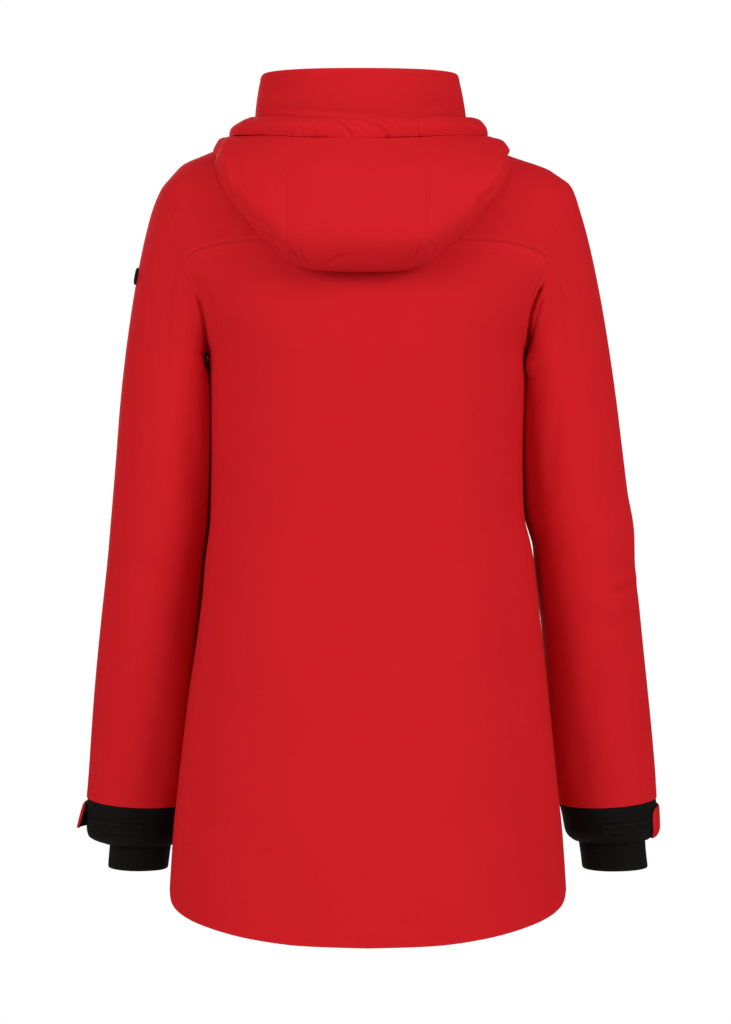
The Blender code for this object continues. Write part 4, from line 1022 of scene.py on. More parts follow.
sleeveCut = {
    "columns": ("height", "leftEdge", "rightEdge", "width", "depth", "middle"),
    "rings": [
        (-0.2500, 0.2450, 0.2488, 0.1050, 0.1300, -0.0100),
        (-0.3000, 0.2495, 0.2540, 0.1060, 0.1260, -0.0150),
        (-0.3300, 0.2524, 0.2578, 0.1070, 0.1240, -0.0180),
        (-0.3700, 0.2565, 0.2632, 0.1070, 0.1200, -0.0230),
        (-0.4100, 0.2603, 0.2703, 0.1036, 0.1170, -0.0280),
        (-0.4300, 0.2620, 0.2708, 0.1024, 0.1150, -0.0305),
        (-0.4900, 0.2681, 0.2772, 0.1015, 0.1090, -0.0380),
        (-0.5700, 0.2761, 0.2852, 0.1030, 0.1020, -0.0480),
        (-0.6550, 0.2841, 0.2932, 0.1015, 0.0960, -0.0580),
        (-0.7200, 0.2905, 0.2996, 0.0970, 0.0930, -0.0650),
        (-0.7600, 0.2945, 0.3036, 0.0950, 0.0920, -0.0690),
    ],
    "levelColumns": ("height", "across", "along"),
    "levels": [
        (-0.2500, 0.00, 0.0),
        (-0.6000, 0.00, 0.0),
        (-0.6740, 0.50, 0.0),
        (-0.7040, 0.75, 0.6),
        (-0.7170, 0.85, 1.0),
        (-0.7600, 0.85, 0.1),
    ],
    "hem": -0.6740,
    "headEnd": -0.3000,
    "headStartPull": 0.105,
    "headEndPull": 0.150,
    "underarmPull": 0.020,
    "underarmSpread": 0.7,
    "underarmWay": (1.0, 0, 0.1),
    "headAim": -0.08,
    "slopeStep": 0.02,
    "clearance": 0.0022,
    "clearFrom": 0.004,
    "clearOver": 0.01,
    "aroundCount": 128,
    "headRows": 72,
    "armRows": 96,
    "roll": (0.0003, 0.0020),
    "seamBlend": 0.004,
    "headFade": 0.030,
    "hemFade": 0.03,
    "hemHeld": 0.4,
    "underarmHeld": 0.25,
    "underarmFade": (0.10, 0.25),
    "armpitSteps": 40,
    "armpitEven": 0.7,
    # folds under the arm: turns and distances from the armhole, width, depth, lip
    "armpit": {
        "left": [([112, 124, 140, 158], [0.0040, 0.0026, 0.0016, 0.0014], 0.0016, 0.0040, 0.2)],
        "right": [
            (
                [104, 110, 118, 130, 144, 158], [0.0064, 0.0054, 0.0038, 0.0024, 0.0018, 0.0016],
                0.0018, 0.0080, 0.1,
            ),
            ([110, 120, 132, 148], [0.0120, 0.0105, 0.0085, 0.0075], 0.0020, 0.0030, 0.3),
        ],
    },
    # seen from behind; the one with a depth below 0 swells out against the body
    "dimples": {
        "left": [((0.1580, -0.2180), (0.1560, -0.2500), 0.05, 0.0060, 0.0030, 0.2)],
        "right": [
            ((0.1820, -0.0940), (0.1870, -0.1060), 0.1, 0.0050, 0.0034, 0.2),
            ((0.1630, -0.2230), (0.1620, -0.2500), 0.05, 0.0075, -0.0048, 0),
        ],
    },
    "waves": {"seed": 31, "size": 0.10, "tall": 3.0, "amount": 0.0008},
    "creases": {
        "left": [
            ((0.30, 0.14), (0.36, 0.34), 0.05, 0.010, 0.0018, 0.6),
            ((0.40, 0.20), (0.44, 0.44), -0.04, 0.011, 0.0022, 0.6),
            ((0.16, 0.46), (0.34, 0.53), 0.10, 0.011, 0.0011, 0.5),
            ((0.22, 0.62), (0.36, 0.70), -0.10, 0.013, 0.0010, 0.5),
            ((0.66, 0.50), (0.82, 0.58), 0.12, 0.011, 0.0022, 0.6),
            ((0.62, 0.58), (0.84, 0.55), -0.12, 0.010, 0.0018, 0.6),
            ((0.60, 0.66), (0.78, 0.74), 0.10, 0.013, 0.0014, 0.5),
            ((0.28, 0.78), (0.34, 0.97), 0.04, 0.014, 0.0010, 0.5),
            ((0.74, 0.16), (0.64, 0.36), -0.06, 0.012, 0.0018, 0.6),
        ],
        "right": [
            ((0.26, 0.12), (0.33, 0.32), 0.05, 0.010, 0.0018, 0.6),
            ((0.38, 0.18), (0.42, 0.46), -0.04, 0.012, 0.0024, 0.6),
            ((0.02, 0.545), (0.20, 0.535), 0.06, 0.006, 0.0016, 0.9),
            ((0.12, 0.60), (0.32, 0.56), -0.08, 0.011, 0.0011, 0.5),
            ((0.66, 0.52), (0.84, 0.57), 0.12, 0.011, 0.0022, 0.6),
            ((0.64, 0.60), (0.86, 0.54), -0.10, 0.010, 0.0018, 0.6),
            ((0.20, 0.70), (0.30, 0.80), 0.08, 0.013, 0.0010, 0.5),
            ((0.62, 0.70), (0.80, 0.76), 0.10, 0.013, 0.0014, 0.5),
            ((0.30, 0.82), (0.36, 0.97), 0.04, 0.014, 0.0009, 0.5),
            ((0.72, 0.14), (0.62, 0.34), -0.06, 0.012, 0.0018, 0.6),
        ],
    },
}
sleeveCurve = curvesOf(sleeveCut["columns"], sleeveCut["rings"])
levelCurve = curvesOf(sleeveCut["levelColumns"], sleeveCut["levels"])


def sleeveRing(side, turn, height, inwards=0.0, shift=0.0):
    edge = sleeveCurve[side + "Edge"]
    turn = np.radians(np.asarray(turn, float))
    height = np.asarray(height, float)

    def middle(at):
        return np.stack([edge(at) - sleeveCurve["width"](at) / 2, sleeveCurve["middle"](at), at], axis=-1)

    step = sleeveCut["slopeStep"]
    axis = unit(middle(height - step) - middle(height + step))
    out = unit(np.array([1.0, 0, 0]) - axis * axis[..., :1])
    back = unit(np.cross(out, axis))
    out[..., 2] *= 1 - levelCurve["across"](height)
    back[..., 2] *= 1 - levelCurve["along"](height)
    across = sleeveCurve["width"](height) / 2 - inwards
    along = sleeveCurve["depth"](height) / 2 - inwards
    ring = middle(height) + out * (across * np.cos(turn))[..., None]
    ring = ring + back * (along * np.sin(turn))[..., None]
    ring[..., 0] += shift
    return ring


def clearBody(points):
    level = points[..., 2]
    width = bodyCurve["halfWidth"](level) + sleeveCut["clearance"]
    back = bodyCurve["back"](level) + sleeveCut["clearance"]
    front = bodyCurve["front"](level) + sleeveCut["clearance"]
    depth = np.where(points[..., 1] >= 0, back, front)
    square = bodyCurve["square"](level)
    inside = np.clip(1 - np.abs(points[..., 1] / depth) ** square, 0, 1)
    limit = width * inside ** (1 / square)
    floorLevel = armholeCut["level"] - armholeCut["halfHeight"]
    low = np.clip((floorLevel + sleeveCut["clearFrom"] - level) / sleeveCut["clearOver"], 0, 1)
    cleared = points.copy()
    cleared[..., 0] += np.maximum(limit - points[..., 0], 0) * low
    return cleared


def sleeveGrid(side, look):
    turns = np.linspace(0, 360, look["aroundCount"], endpoint=False)
    half = np.where(turns <= 180, turns, 360 - turns)
    angle, level = armhole(half, -halfGap / armholeCut["halfHeight"])
    angle = np.where(turns <= 180, angle, 180 - angle)
    start = bodyPoint(angle, level)
    angleIn, levelIn = armhole(half, look["headAim"])
    angleIn = np.where(turns <= 180, angleIn, 180 - angleIn)
    away = unit(bodyPoint(angleIn, levelIn) - start)
    under = np.clip(-np.cos(np.radians(turns)), 0, 1)[:, None] ** look["underarmSpread"]
    pull = look["headStartPull"] * (1 - under) + look["underarmPull"] * under
    away = unit(away * (1 - under) + np.array(look["underarmWay"]) * under) * pull
    flat = np.ones(turns.shape)
    end = sleeveRing(side, turns, flat * look["headEnd"])
    below = sleeveRing(side, turns, flat * (look["headEnd"] - look["slopeStep"]))
    length = np.linalg.norm(end - start, axis=-1, keepdims=True)
    arrive = unit(below - end) * np.minimum(look["headEndPull"], length)
    rows = []
    for t in np.linspace(0, 1, look["headRows"] + 1)[:-1] ** 1.5:
        row = start * (1 + 2 * t) * (1 - t) ** 2 + end * t * t * (3 - 2 * t)
        rows.append(row + away * t * (1 - t) ** 2 + arrive * t * t * (t - 1))
    for part in fineParts(look["armRows"], start=False)[1:]:
        reach = look["headEnd"] + (look["hem"] - look["headEnd"]) * part
        rows.append(sleeveRing(side, turns, flat * reach))
    grid = np.array(rows)
    grid[1:] = clearBody(grid[1:])
    return grid, bodyNormal(angle, level)


def beside(grid, turns, distances):
    # a path on the sleeve, at distances from the armhole along its columns
    lengths = arcAlong(grid, 0)
    path = []
    at = np.linspace(0, 1, sleeveCut["armpitSteps"]) * (len(turns) - 1)
    steps = np.arange(len(turns))
    for turn, distance in zip(np.interp(at, steps, turns), np.interp(at, steps, distances)):
        place = turn / 360 * grid.shape[1]
        column, part = int(place), place - int(place)
        ends = []
        for c in (column, column + 1):
            ends.append([np.interp(distance, lengths[:, c], grid[:, c, axis]) for axis in range(3)])
        path.append(np.array(ends[0]) * (1 - part) + np.array(ends[1]) * part)
    return np.array(path)


def ringNormals(grid):
    across = np.roll(grid, -1, axis=1) - np.roll(grid, 1, axis=1)
    down = np.gradient(grid, axis=0)
    normals = unit(np.cross(across, down))
    middle = len(grid) // 2
    if np.sum(normals[middle] * (grid[middle] - grid[middle].mean(axis=0))) < 0:
        normals = -normals
    return normals


def mirrored(points, side):
    return points * np.array([1 if side == "left" else -1, 1, 1])


def makeSleeve(side, look):
    grid, seamNormal = sleeveGrid(side, look)
    normals = ringNormals(grid)
    down = arcAlong(grid, 0)
    blendIn = np.exp(-down / look["seamBlend"])[..., None]
    normals = unit(normals * (1 - blendIn) + seamNormal[None] * blendIn)
    waves = look["waves"]
    height = waveHeight(grid, **{**waves, "seed": waves["seed"] + (side == "right")})
    height = height + creaseHeight(closedRing(grid), closedRing(normals), look["creases"][side])[:, :-1]
    inner = np.abs(np.linspace(0, 2, grid.shape[1], endpoint=False) - 1)[None, :]  # 0 at the underarm line
    held, (calmPart, calmFade) = look["underarmHeld"], look["underarmFade"]
    calm = held + (1 - held) * ease((inner - calmPart) / calmFade)
    height = height * ease(down / look["headFade"]) * calm
    held = look["hemHeld"]
    height = height * (held + (1 - held) * ease((down[-1:] - down) / look["hemFade"]))
    height = height + seenHeight(grid, normals, look["dimples"][side])
    for turns, distances, width, depth, lip in look["armpit"][side]:
        path = beside(grid, turns, distances)
        height = height + ridge(grid, normals, path, width, depth, lip, look["armpitEven"])
    outer = grid + normals * height[..., None]
    outer = rollEdges(outer, normals, ("top",), *look["roll"])
    outer, normals = mirrored(outer, side), mirrored(normals, side)
    piece = shell(side + "SleeveCloth", outer, normals, ring=True)
    fit(piece, "shell_cloth", "sleeve_" + side)
    declareCloth(outer, ring=True)
    return piece, outer


sleeves = {side: makeSleeve(side, sleeveCut) for side in ("left", "right")}
print("sleeves ready")


# cuffs, tabs and tapes

cuffCut = {
    # how far below the sleeve's hem, and how far inwards of the sleeve
    "band": {
        "left": [
            (0.0004, 0.0006), (0.0160, 0.0010), (0.0300, 0.0014),
            (0.0385, 0.0030), (0.0450, 0.0100), (0.0470, 0.0150),
        ],
        "right": [
            (0.0004, 0.0006), (0.0160, 0.0012), (0.0300, 0.0020),
            (0.0360, 0.0042), (0.0410, 0.0090), (0.0430, 0.0124),
        ],
    },
    "inner": {
        "left": [(0.0300, 0.0172), (0.0500, 0.0170), (0.0702, 0.0168)],
        "right": [(0.0300, 0.0145), (0.0480, 0.0142), (0.0702, 0.0142)],
    },
    "shift": {"left": -0.0112, "right": -0.0008},
    "around": 120,
    "bandRows": 26,
    "innerRows": 20,
    "profileSteps": 300,
    "wall": 0.0013,
    "roll": (0.0006, 0.0025),
    "seeds": {"left": 61, "right": 67},
    "waves": {"size": 0.035, "tall": 1.4, "amount": 0.0004},
}
loopTape = {
    "turns": (34, 104),
    "below": (0.0190, 0.0300),
    "gap": 0.0003,
    "thick": 0.0012,
    "wall": 0.0009,
    "roll": (0.0005, 0.0014),
    "columns": 40,
    "rows": 12,
}
tabCut = {
    "left": {
        # turn round the cuff, and how far the tab's lower edge stands off there
        "off": [(-68, 0.0007), (-51, 0.0007), (-34, 0.0012), (-17, 0.0034), (0, 0.0066), (17, 0.0080)],
        "below": (0.0065, 0.0310),
        "topShare": 0.05,
        "corner": 0.008,
    },
    "right": {
        "off": [
            (-68, 0.0005), (-51, 0.0005), (-34, 0.0005), (-17, 0.0005),
            (0, 0.0006), (17, 0.0009), (34, 0.0014),
        ],
        "below": (0.0085, 0.0400),
        "topShare": 0.50,
        "corner": 0.010,
    },
    "bow": 0.75,
    "hookThick": 0.0010,
    "gap": 0.0003,
    "thick": 0.0014,
    "lineOff": 0.003,
    "tabWallShare": 0.85,
    "hookWallShare": 0.9,
    "roll": (0.0006, 0.0020),
    "columns": 48,
    "rows": 16,
}
bandInwards = {side: curveThrough(*zip(*rows)) for side, rows in cuffCut["band"].items()}
innerInwards = {side: curveThrough(*zip(*rows)) for side, rows in cuffCut["inner"].items()}


def cuffShift(side, inwards):
    return cuffCut["shift"][side] * np.minimum(inwards / cuffCut["band"][side][-1][1], 1.0)


def cuffFace(side, turn, below, off):
    inwards = bandInwards[side](below)
    return sleeveRing(side, turn, sleeveCut["hem"] - below, inwards - off, cuffShift(side, inwards))


def makeCuff(side, look):
    turns = np.linspace(0, 360, look["around"], endpoint=False)
    for name, node, table, curves, count in (
        ("CuffBand", "cuff_", look["band"][side], bandInwards, look["bandRows"]),
        ("InnerCuff", "inner_cuff_", look["inner"][side], innerInwards, look["innerRows"]),
    ):
        # rows go by distance along the band's profile, so that its turned edge stays round
        dense = np.linspace(table[0][0], table[-1][0], look["profileSteps"])
        inwards = curves[side](dense)
        length = arcAlong(np.stack([dense, inwards], axis=1)[:, None], 0)[:, 0]
        at = fineParts(count) * length[-1]
        below, inwards = np.interp(at, length, dense), np.interp(at, length, inwards)
        grid = np.array([
            sleeveRing(side, turns, np.full(turns.shape, sleeveCut["hem"] - b), i, cuffShift(side, i))
            for b, i in zip(below, inwards)
        ])
        normals = ringNormals(grid)
        height = waveHeight(grid, look["seeds"][side], **look["waves"])
        outer = rollEdges(grid + normals * height[..., None], normals, ("top", "bottom"), *look["roll"])
        outer, normals = mirrored(outer, side), mirrored(normals, side)
        piece = shell(side + name, outer, normals, face="cuff", back="cuff", thick=look["wall"], ring=True)
        fit(piece, "cuff_cloth", node + side)
        declareCloth(outer, ring=True)


def makeLoopTape(side, look):
    turns = np.linspace(*look["turns"], look["columns"])
    turn, below = np.meshgrid(turns, np.linspace(*look["below"], look["rows"]))
    face = cuffFace(side, turn, below, look["gap"] + look["thick"])
    base = cuffFace(side, turn, below, look["gap"])
    normals = mirrored(unit(face - base), side)
    outer = rollEdges(mirrored(face, side), normals, ("top", "bottom", "left", "right"), *look["roll"])
    piece = shell(side + "LoopTape", outer, normals, face="loop", back="loop", thick=look["wall"])
    fit(piece, "loop_tape", "loop_tape_" + side)


def makeTab(side, look):
    cut = look[side]
    stand = curvesOf(("turn", "off"), cut["off"])["off"]
    turns = np.linspace(cut["off"][0][0], cut["off"][-1][0], look["columns"])
    low, high = cut["below"]
    line = cuffFace(side, turns, np.full(turns.shape, (low + high) / 2), look["lineOff"])
    toEnd = arcAlong(line, 0)
    toEnd = toEnd[-1] - toEnd
    corner = cut["corner"]
    over = np.clip(1 - toEnd / corner, 0, 1)
    inset = corner * (1 - np.sqrt(np.clip(1 - over**2, 0, 1)))
    part = fineParts(look["rows"])[:, None]
    below = (low + inset)[None, :] * (1 - part) + (high - inset)[None, :] * part
    turn = np.broadcast_to(turns[None, :], below.shape)
    rest = cut["off"][0][1]
    share = ((below - low) / (high - low)) ** look["bow"]
    off = rest + (stand(turn) - rest) * (cut["topShare"] + (1 - cut["topShare"]) * share)
    base = cuffFace(side, turn, below, off)
    hooks = cuffFace(side, turn, below, off + look["hookThick"])
    face = cuffFace(side, turn, below, off + look["hookThick"] + look["gap"] + look["thick"])
    normals = mirrored(unit(face - base), side)
    outer = rollEdges(mirrored(face, side), normals, ("top", "bottom", "right"), *look["roll"])
    wall = look["thick"] * look["tabWallShare"]
    tab = shell(side + "TabCloth", outer, normals, back="shell", thick=wall)
    fit(tab, "shell_cloth", "strap_" + side)
    wall = look["hookThick"] * look["hookWallShare"]
    hook = shell(side + "HookTape", mirrored(hooks, side), normals, face="hook", back="hook", thick=wall)
    fit(hook, "hook_tape", "strap_hook_" + side)
    declareCloth(outer)


for side in ("left", "right"):
    makeCuff(side, cuffCut)
    makeLoopTape(side, loopTape)
    makeTab(side, tabCut)
print("cuffs ready")


# hood

hoodCut = {
    "columns": ("rimAngle", "neckAngle", "footAngle", "footLevel", "fullness"),
    "rings": [
        (0, 0, 0, -0.1475, 0.0520),
        (15, 18, 8, -0.1460, 0.0520),
        (30, 37, 16, -0.1385, 0.0490),
        (42, 46, 22.5, -0.1130, 0.0430),
        (52, 54, 29, -0.0850, 0.0360),
        (62, 62, 37, -0.0615, 0.0285),
        (72, 70, 47, -0.0435, 0.0220),
        (84, 82, 62, -0.0315, 0.0145),
        (98, 96, 93, -0.0250, 0.0115),
        (114, 112, 112, -0.0250, 0.0118),
        (130, 128, 129, -0.0250, 0.0118),
        (144, 142, 143, -0.0250, 0.0115),
    ],
    "footTurn": 1.6,
    "restGap": 0.0033,
    "startLevel": -0.0145,
    "foldStart": 0.30,
    "foldLow": (0.42, -0.06),
    "foldCrest": (0.92, 0.44),
    "bulgeParts": (0.28, 0.64),
    "bulge": 0.22,
    "roundFrom": 72,
    "roundOver": 20,
    "calmTo": 0.30,
    "calmFade": 0.15,
    "seamRoll": (0.0003, 0.0020),
    "rimRoll": (0.0006, 0.0030),
    "rimRadius": 0.12,
    "rims": {  # half width, back, front, back height, side height, front height, shift
        "groove": (0.1280, 0.1180, 0.1090, -0.0215, -0.0085, -0.0640, 0.0085),
        "casingLow": (0.1290, 0.1190, 0.1100, -0.0205, -0.0077, -0.0630, 0.0085),
        "casingMid": (0.1275, 0.1195, 0.1095, -0.0105, 0.0010, -0.0560, 0.0080),
        "casingHigh": (0.1185, 0.1120, 0.1045, -0.0015, 0.0085, -0.0510, 0.0055),
        "casingTuck": (0.1130, 0.1030, 0.1000, -0.0030, 0.0078, -0.0520, 0.0055),
    },
    "seams": {"left": 30, "right": 27.5},
    "sideEnd": 144,
    "centreColumns": 100,
    "sideColumns": 130,
    "backRows": 24,
    "bendSteps": 18,
    "casingSteps": 9,
    "waves": {"seed": 43, "size": 0.08, "tall": 1.2, "amount": 0.0008},
    # seen from behind: the rolled edge low on the left, and puckers where the seams reach the fold
    "seen": {
        "center": [
            ((0.074, -0.133), (0.061, -0.147), 0.08, 0.0020, 0.0018, 0.4),
            ((0.064, -0.132), (0.054, -0.146), -0.10, 0.0018, 0.0014, 0.4),
            ((0.040, -0.148), (0.014, -0.140), 0.10, 0.0030, 0.0008, 0.4),
            ((-0.050, -0.126), (-0.043, -0.143), 0.08, 0.0020, 0.0014, 0.4),
        ],
        "left": [
            ((0.139, -0.046), (0.078, -0.128), -0.13, 0.0020, 0.0030, 0.5),
            ((0.090, -0.128), (0.078, -0.140), 0.10, 0.0020, 0.0014, 0.4),
        ],
        "right": [
            ((-0.130, -0.045), (-0.104, -0.090), 0.10, 0.0050, 0.0014, 0.4),
            ((-0.058, -0.124), (-0.066, -0.138), 0.10, 0.0020, 0.0014, 0.4),
        ],
    },
    "creases": {
        "center": [
            ((0.02, 0.80), (0.42, 0.74), 0.10, 0.010, 0.0006, 0.5),
            ((0.62, 0.60), (0.95, 0.54), -0.10, 0.012, 0.0008, 0.5),
        ],
        "left": [
            ((0.03, 0.60), (0.30, 0.70), 0.08, 0.009, 0.0012, 0.5),
            ((0.16, 0.66), (0.40, 0.80), -0.06, 0.010, 0.0010, 0.5),
        ],
        "right": [
            ((0.97, 0.60), (0.70, 0.70), -0.08, 0.009, 0.0012, 0.5),
            ((0.80, 0.70), (0.58, 0.84), 0.06, 0.010, 0.0010, 0.5),
        ],
    },
}
hoodCurve = curvesOf(hoodCut["columns"], hoodCut["rings"])


def rimPoint(name, angle):
    halfWidth, back, front, backZ, sideZ, frontZ, shift = hoodCut["rims"][name]
    angle = np.radians(np.asarray(angle, float))
    sine, cosine = np.sin(angle), np.cos(angle)
    depth = np.where(cosine >= 0, back, front)
    end = np.where(cosine >= 0, backZ, frontZ)
    x = halfWidth * sine + shift * ease((1 + cosine) / bodyForm["leanFade"])
    return np.stack([x, depth * cosine, sideZ + (end - sideZ) * cosine**2], axis=-1)


def through(controls, count):
    rows = []
    last = len(controls) - 1
    for i in range(last):
        before, a, b = controls[max(i - 1, 0)], controls[i], controls[i + 1]
        after = controls[min(i + 2, last)]
        for step in range(count):
            t = step / count
            row = a * (1 + 2 * t) * (1 - t) ** 2 + b * t * t * (3 - 2 * t)
            row = row + (b - before) / 2 * t * (1 - t) ** 2 + (after - a) / 2 * t * t * (t - 1)
            rows.append(row)
    rows.append(controls[-1])
    return rows


def hoodRows(rim, look):
    rim = np.asarray(rim, float)
    sign, size = np.sign(rim), np.abs(rim)
    neck = sign * hoodCurve["neckAngle"](size)
    foot = sign * hoodCurve["footAngle"](size) + look["footTurn"]
    footLevel = hoodCurve["footLevel"](size)
    full = hoodCurve["fullness"](size)
    above = footLevel + look["foldStart"] * full
    startX = bodyPoint(neck, look["startLevel"])[..., 0]
    endX = bodyPoint(foot, above)[..., 0]
    roundSide = np.clip((size - look["roundFrom"]) / look["roundOver"], 0, 1)
    rows = []
    for part in np.linspace(0, 1, look["backRows"]):
        level = look["startLevel"] + (above - look["startLevel"]) * part
        across = startX + (endX - startX) * part - lean(level)
        straight = np.sign(across) * angleAt(np.abs(across), level)
        turned = neck + (foot - neck) * part
        angle = straight + (turned - straight) * roundSide
        rows.append(bodyPoint(angle, level) + bodyNormal(angle, level) * look["restGap"])
    up = unit(bodyPoint(foot, footLevel + 0.004) - bodyPoint(foot, footLevel - 0.004))
    out = bodyNormal(foot, footLevel)
    low = bodyPoint(foot, footLevel)
    groove = rimPoint("groove", rim)
    full = full[..., None]
    (lowOut, lowUp), (crestOut, crestUp) = look["foldLow"], look["foldCrest"]
    crest = low + out * full * crestOut + up * full * crestUp
    climb = groove - crest
    belly = unit(np.cross(np.cross(climb, out), climb))
    controls = [rows[-1], low + out * full * lowOut + up * full * lowUp, crest]
    for part in look["bulgeParts"]:
        controls.append(crest + climb * part + belly * full * look["bulge"])
    controls.append(groove)
    bend = through(controls, look["bendSteps"])
    casing = [rimPoint(name, rim) for name in look["rims"]]
    return np.array(rows[:-1] + bend), np.array(through(casing, look["casingSteps"]))


def hoodFaces(rim, look):
    step = 0.25
    grids = hoodRows(rim, look)
    after, before = hoodRows(rim + step, look), hoodRows(rim - step, look)
    made = []
    for grid, a, b in zip(grids, after, before):
        down = np.gradient(grid, axis=0)
        made.append((grid, unit(np.cross(down, a - b))))
    return made


casingCut = {
    "waves": {"seed": 47, "size": 0.03, "tall": 1.0, "amount": 0.0003},
    "seamRoll": (0.0005, 0.0014),
    "topRoll": (0.0005, 0.0018),
    # the elastic in the centre casing draws its cloth into slanting puckers
    "puckers": [
        ((0.680, 0.66), (0.520, 0.02), 0.04, 0.0020, 0.0020, 0.5),
        ((0.450, 0.66), (0.250, 0.00), 0.04, 0.0021, 0.0024, 0.5),
        ((0.900, 0.60), (0.800, 0.06), 0.05, 0.0020, 0.0008, 0.4),
        ((0.960, 0.50), (0.900, 0.06), 0.04, 0.0016, 0.0007, 0.4),
        ((0.240, 0.60), (0.140, 0.12), 0.05, 0.0020, 0.0008, 0.4),
        ((0.570, 0.62), (0.430, 0.12), 0.05, 0.0018, 0.0010, 0.4),
    ],
}


def makeHoodPiece(place, angles, look, rolls):
    (hood, hoodNormal), (casing, casingNormal) = hoodFaces(angles, look)
    height = waveHeight(hood, **look["waves"]) + creaseHeight(hood, hoodNormal, look["creases"][place])
    down = arcAlong(hood, 0)
    fade = ease((down / down[-1:] - look["calmTo"]) / look["calmFade"])
    height = height * fade + seenHeight(hood, hoodNormal, look["seen"][place])
    outer = hood + hoodNormal * height[..., None]
    outer = rollEdges(outer, hoodNormal, rolls, *look["seamRoll"])
    outer = rollEdges(outer, hoodNormal, ("bottom",), *look["rimRoll"])
    piece = shell(place + "HoodCloth", outer, hoodNormal)
    fit(piece, "shell_cloth", "hood_" + place)
    declareCloth(outer)
    height = waveHeight(casing, **casingCut["waves"])
    if place == "center":
        height = height + creaseHeight(casing, casingNormal, casingCut["puckers"])
    outer = casing + casingNormal * height[..., None]
    outer = rollEdges(outer, casingNormal, rolls, *casingCut["seamRoll"])
    outer = rollEdges(outer, casingNormal, ("top",), *casingCut["topRoll"])
    piece = shell(place + "CasingCloth", outer, casingNormal)
    fit(piece, "shell_cloth", "hood_casing_" + place)
    declareCloth(outer)


def makeHood(look):
    gap = math.degrees(halfGap / look["rimRadius"])
    left, right = look["seams"]["left"], look["seams"]["right"]
    parts = fineParts(look["centreColumns"])
    makeHoodPiece("center", -(right - gap) + (left + right - 2 * gap) * parts, look, ("left", "right"))
    parts = fineParts(look["sideColumns"])
    makeHoodPiece("left", left + gap + (look["sideEnd"] - left - gap) * parts, look, ("left",))
    makeHoodPiece("right", -(look["sideEnd"] - (look["sideEnd"] - right - gap) * parts), look, ("right",))


makeHood(hoodCut)
print("hood ready")


# patch

patchCut = {
    "radius": 0.0088,
    "turn": 8.5,
    "height": -0.146,
    "off": 0.0004,
    "thick": 0.0022,
    "around": 72,
    "sleeveRadius": 0.055,
    # distance from the middle and height, as parts of the radius and thickness
    "profile": [
        (0.0, 1.12), (0.35, 1.10), (0.60, 1.03), (0.72, 0.96), (0.76, 0.88), (0.80, 0.90), (0.87, 0.80),
        (0.94, 0.62), (0.985, 0.40), (1.0, 0.15), (0.99, -0.10), (0.5, -0.10), (0.0, -0.10),
    ],
    "leastPart": 0.002,
}


def makePatch(look):
    # a plain round patch with a domed, stitched rim, on the wearer's left sleeve
    face = sleeves["left"][1]
    column = int(round(look["turn"] / 360 * face.shape[1]))
    row = int(np.argmax(face[:, column, 2] < look["height"]))
    centre = face[row, column]
    down = unit(face[row + 3, column] - face[row - 3, column])
    across = unit(face[row, column + 3] - face[row, column - 3])
    out = unit(np.cross(down, across))
    out = out if out[0] > 0 else -out
    across = unit(np.cross(out, down))
    middle = centre + out * look["off"]
    around = np.linspace(0, 2 * math.pi, look["around"], endpoint=False)
    rim = np.cos(around)[:, None] * across + np.sin(around)[:, None] * down
    radius, thick = look["radius"], look["thick"]
    rows = []
    for part, high in look["profile"]:
        part = max(part, look["leastPart"])
        sag = (np.cos(around) * radius * part) ** 2 / (2 * look["sleeveRadius"])
        rows.append(middle + rim * radius * part + out * (thick * high - sag)[:, None])
    grid = np.array(rows)
    count = look["around"]
    faces = gridFaces(len(rows), count, True).tolist()
    faces.append(list(range(count))[::-1])
    faces.append(list(range(len(rows) * count - count, len(rows) * count)))
    uv = np.stack([(grid - middle) @ across, (grid - middle) @ down], axis=-1)
    piece = smoothMesh("sleevePatch", grid, faces, [looks["patch"]], None, uv)
    mesh = bmesh.new()
    mesh.from_mesh(piece.data)
    bmesh.ops.recalc_face_normals(mesh, faces=mesh.faces)
    mesh.to_mesh(piece.data)
    mesh.free()
    fit(piece, "patch", "badge")


makePatch(patchCut)
print("patch ready")


# zip

zipCut = {
    "topLevel": 0.0545,
    "tapeTopGap": 0.0030,
    "chainTopGap": 0.0070,
    "hemGap": 0.0080,
    "tapeColumns": (0.0003, 0.003, 0.007, 0.011, 0.0145),
    "tapeRows": 260,
    "tapeUnder": -0.0023,
    "tapeWall": 0.0008,
    "teethUnder": -0.0011,
    "teethApart": 0.0001,
    "lineSteps": 700,
    "toothPitch": 0.0026,
    "toothLength": 0.0030,
    "toothHeight": 0.0015,
    "toothDepth": 0.0016,
    "toothBody": 0.42,
    "toothBevel": 0.10,
    # a foot on the tape, a neck and a round head, as parts of the length and height
    "toothOutline": [(-0.5, 0.42), (0.05, 0.36), (0.24, 0.22), (0.40, 0.34), (0.5, 0.22)],
}


def frontLine(reach, topGap, out, count):
    # a line down centre front, a little to one side, on the cloth or under it
    low = float(hemCurve(180)) + zipCut["hemGap"]
    levels = np.linspace(zipCut["topLevel"] - topGap, low, count)
    angle = 180 - np.sign(reach) * angleAt(abs(reach), levels)
    return bodyPoint(angle, levels) + bodyNormal(angle, levels) * out, bodyNormal(angle, levels)


def makeZipTapes(look):
    for side, sign in (("left", 1), ("right", -1)):
        reaches = np.array(look["tapeColumns"]) * sign
        lines = [frontLine(r, look["tapeTopGap"], look["tapeUnder"], look["tapeRows"]) for r in reaches]
        outer = np.stack([line[0] for line in lines], axis=1)
        normals = np.stack([line[1] for line in lines], axis=1)
        tape = shell(side + "ZipTape", outer, normals, face="tape", back="tape", thick=look["tapeWall"])
        fit(tape, "zip_tape", "zip_tape_" + side)


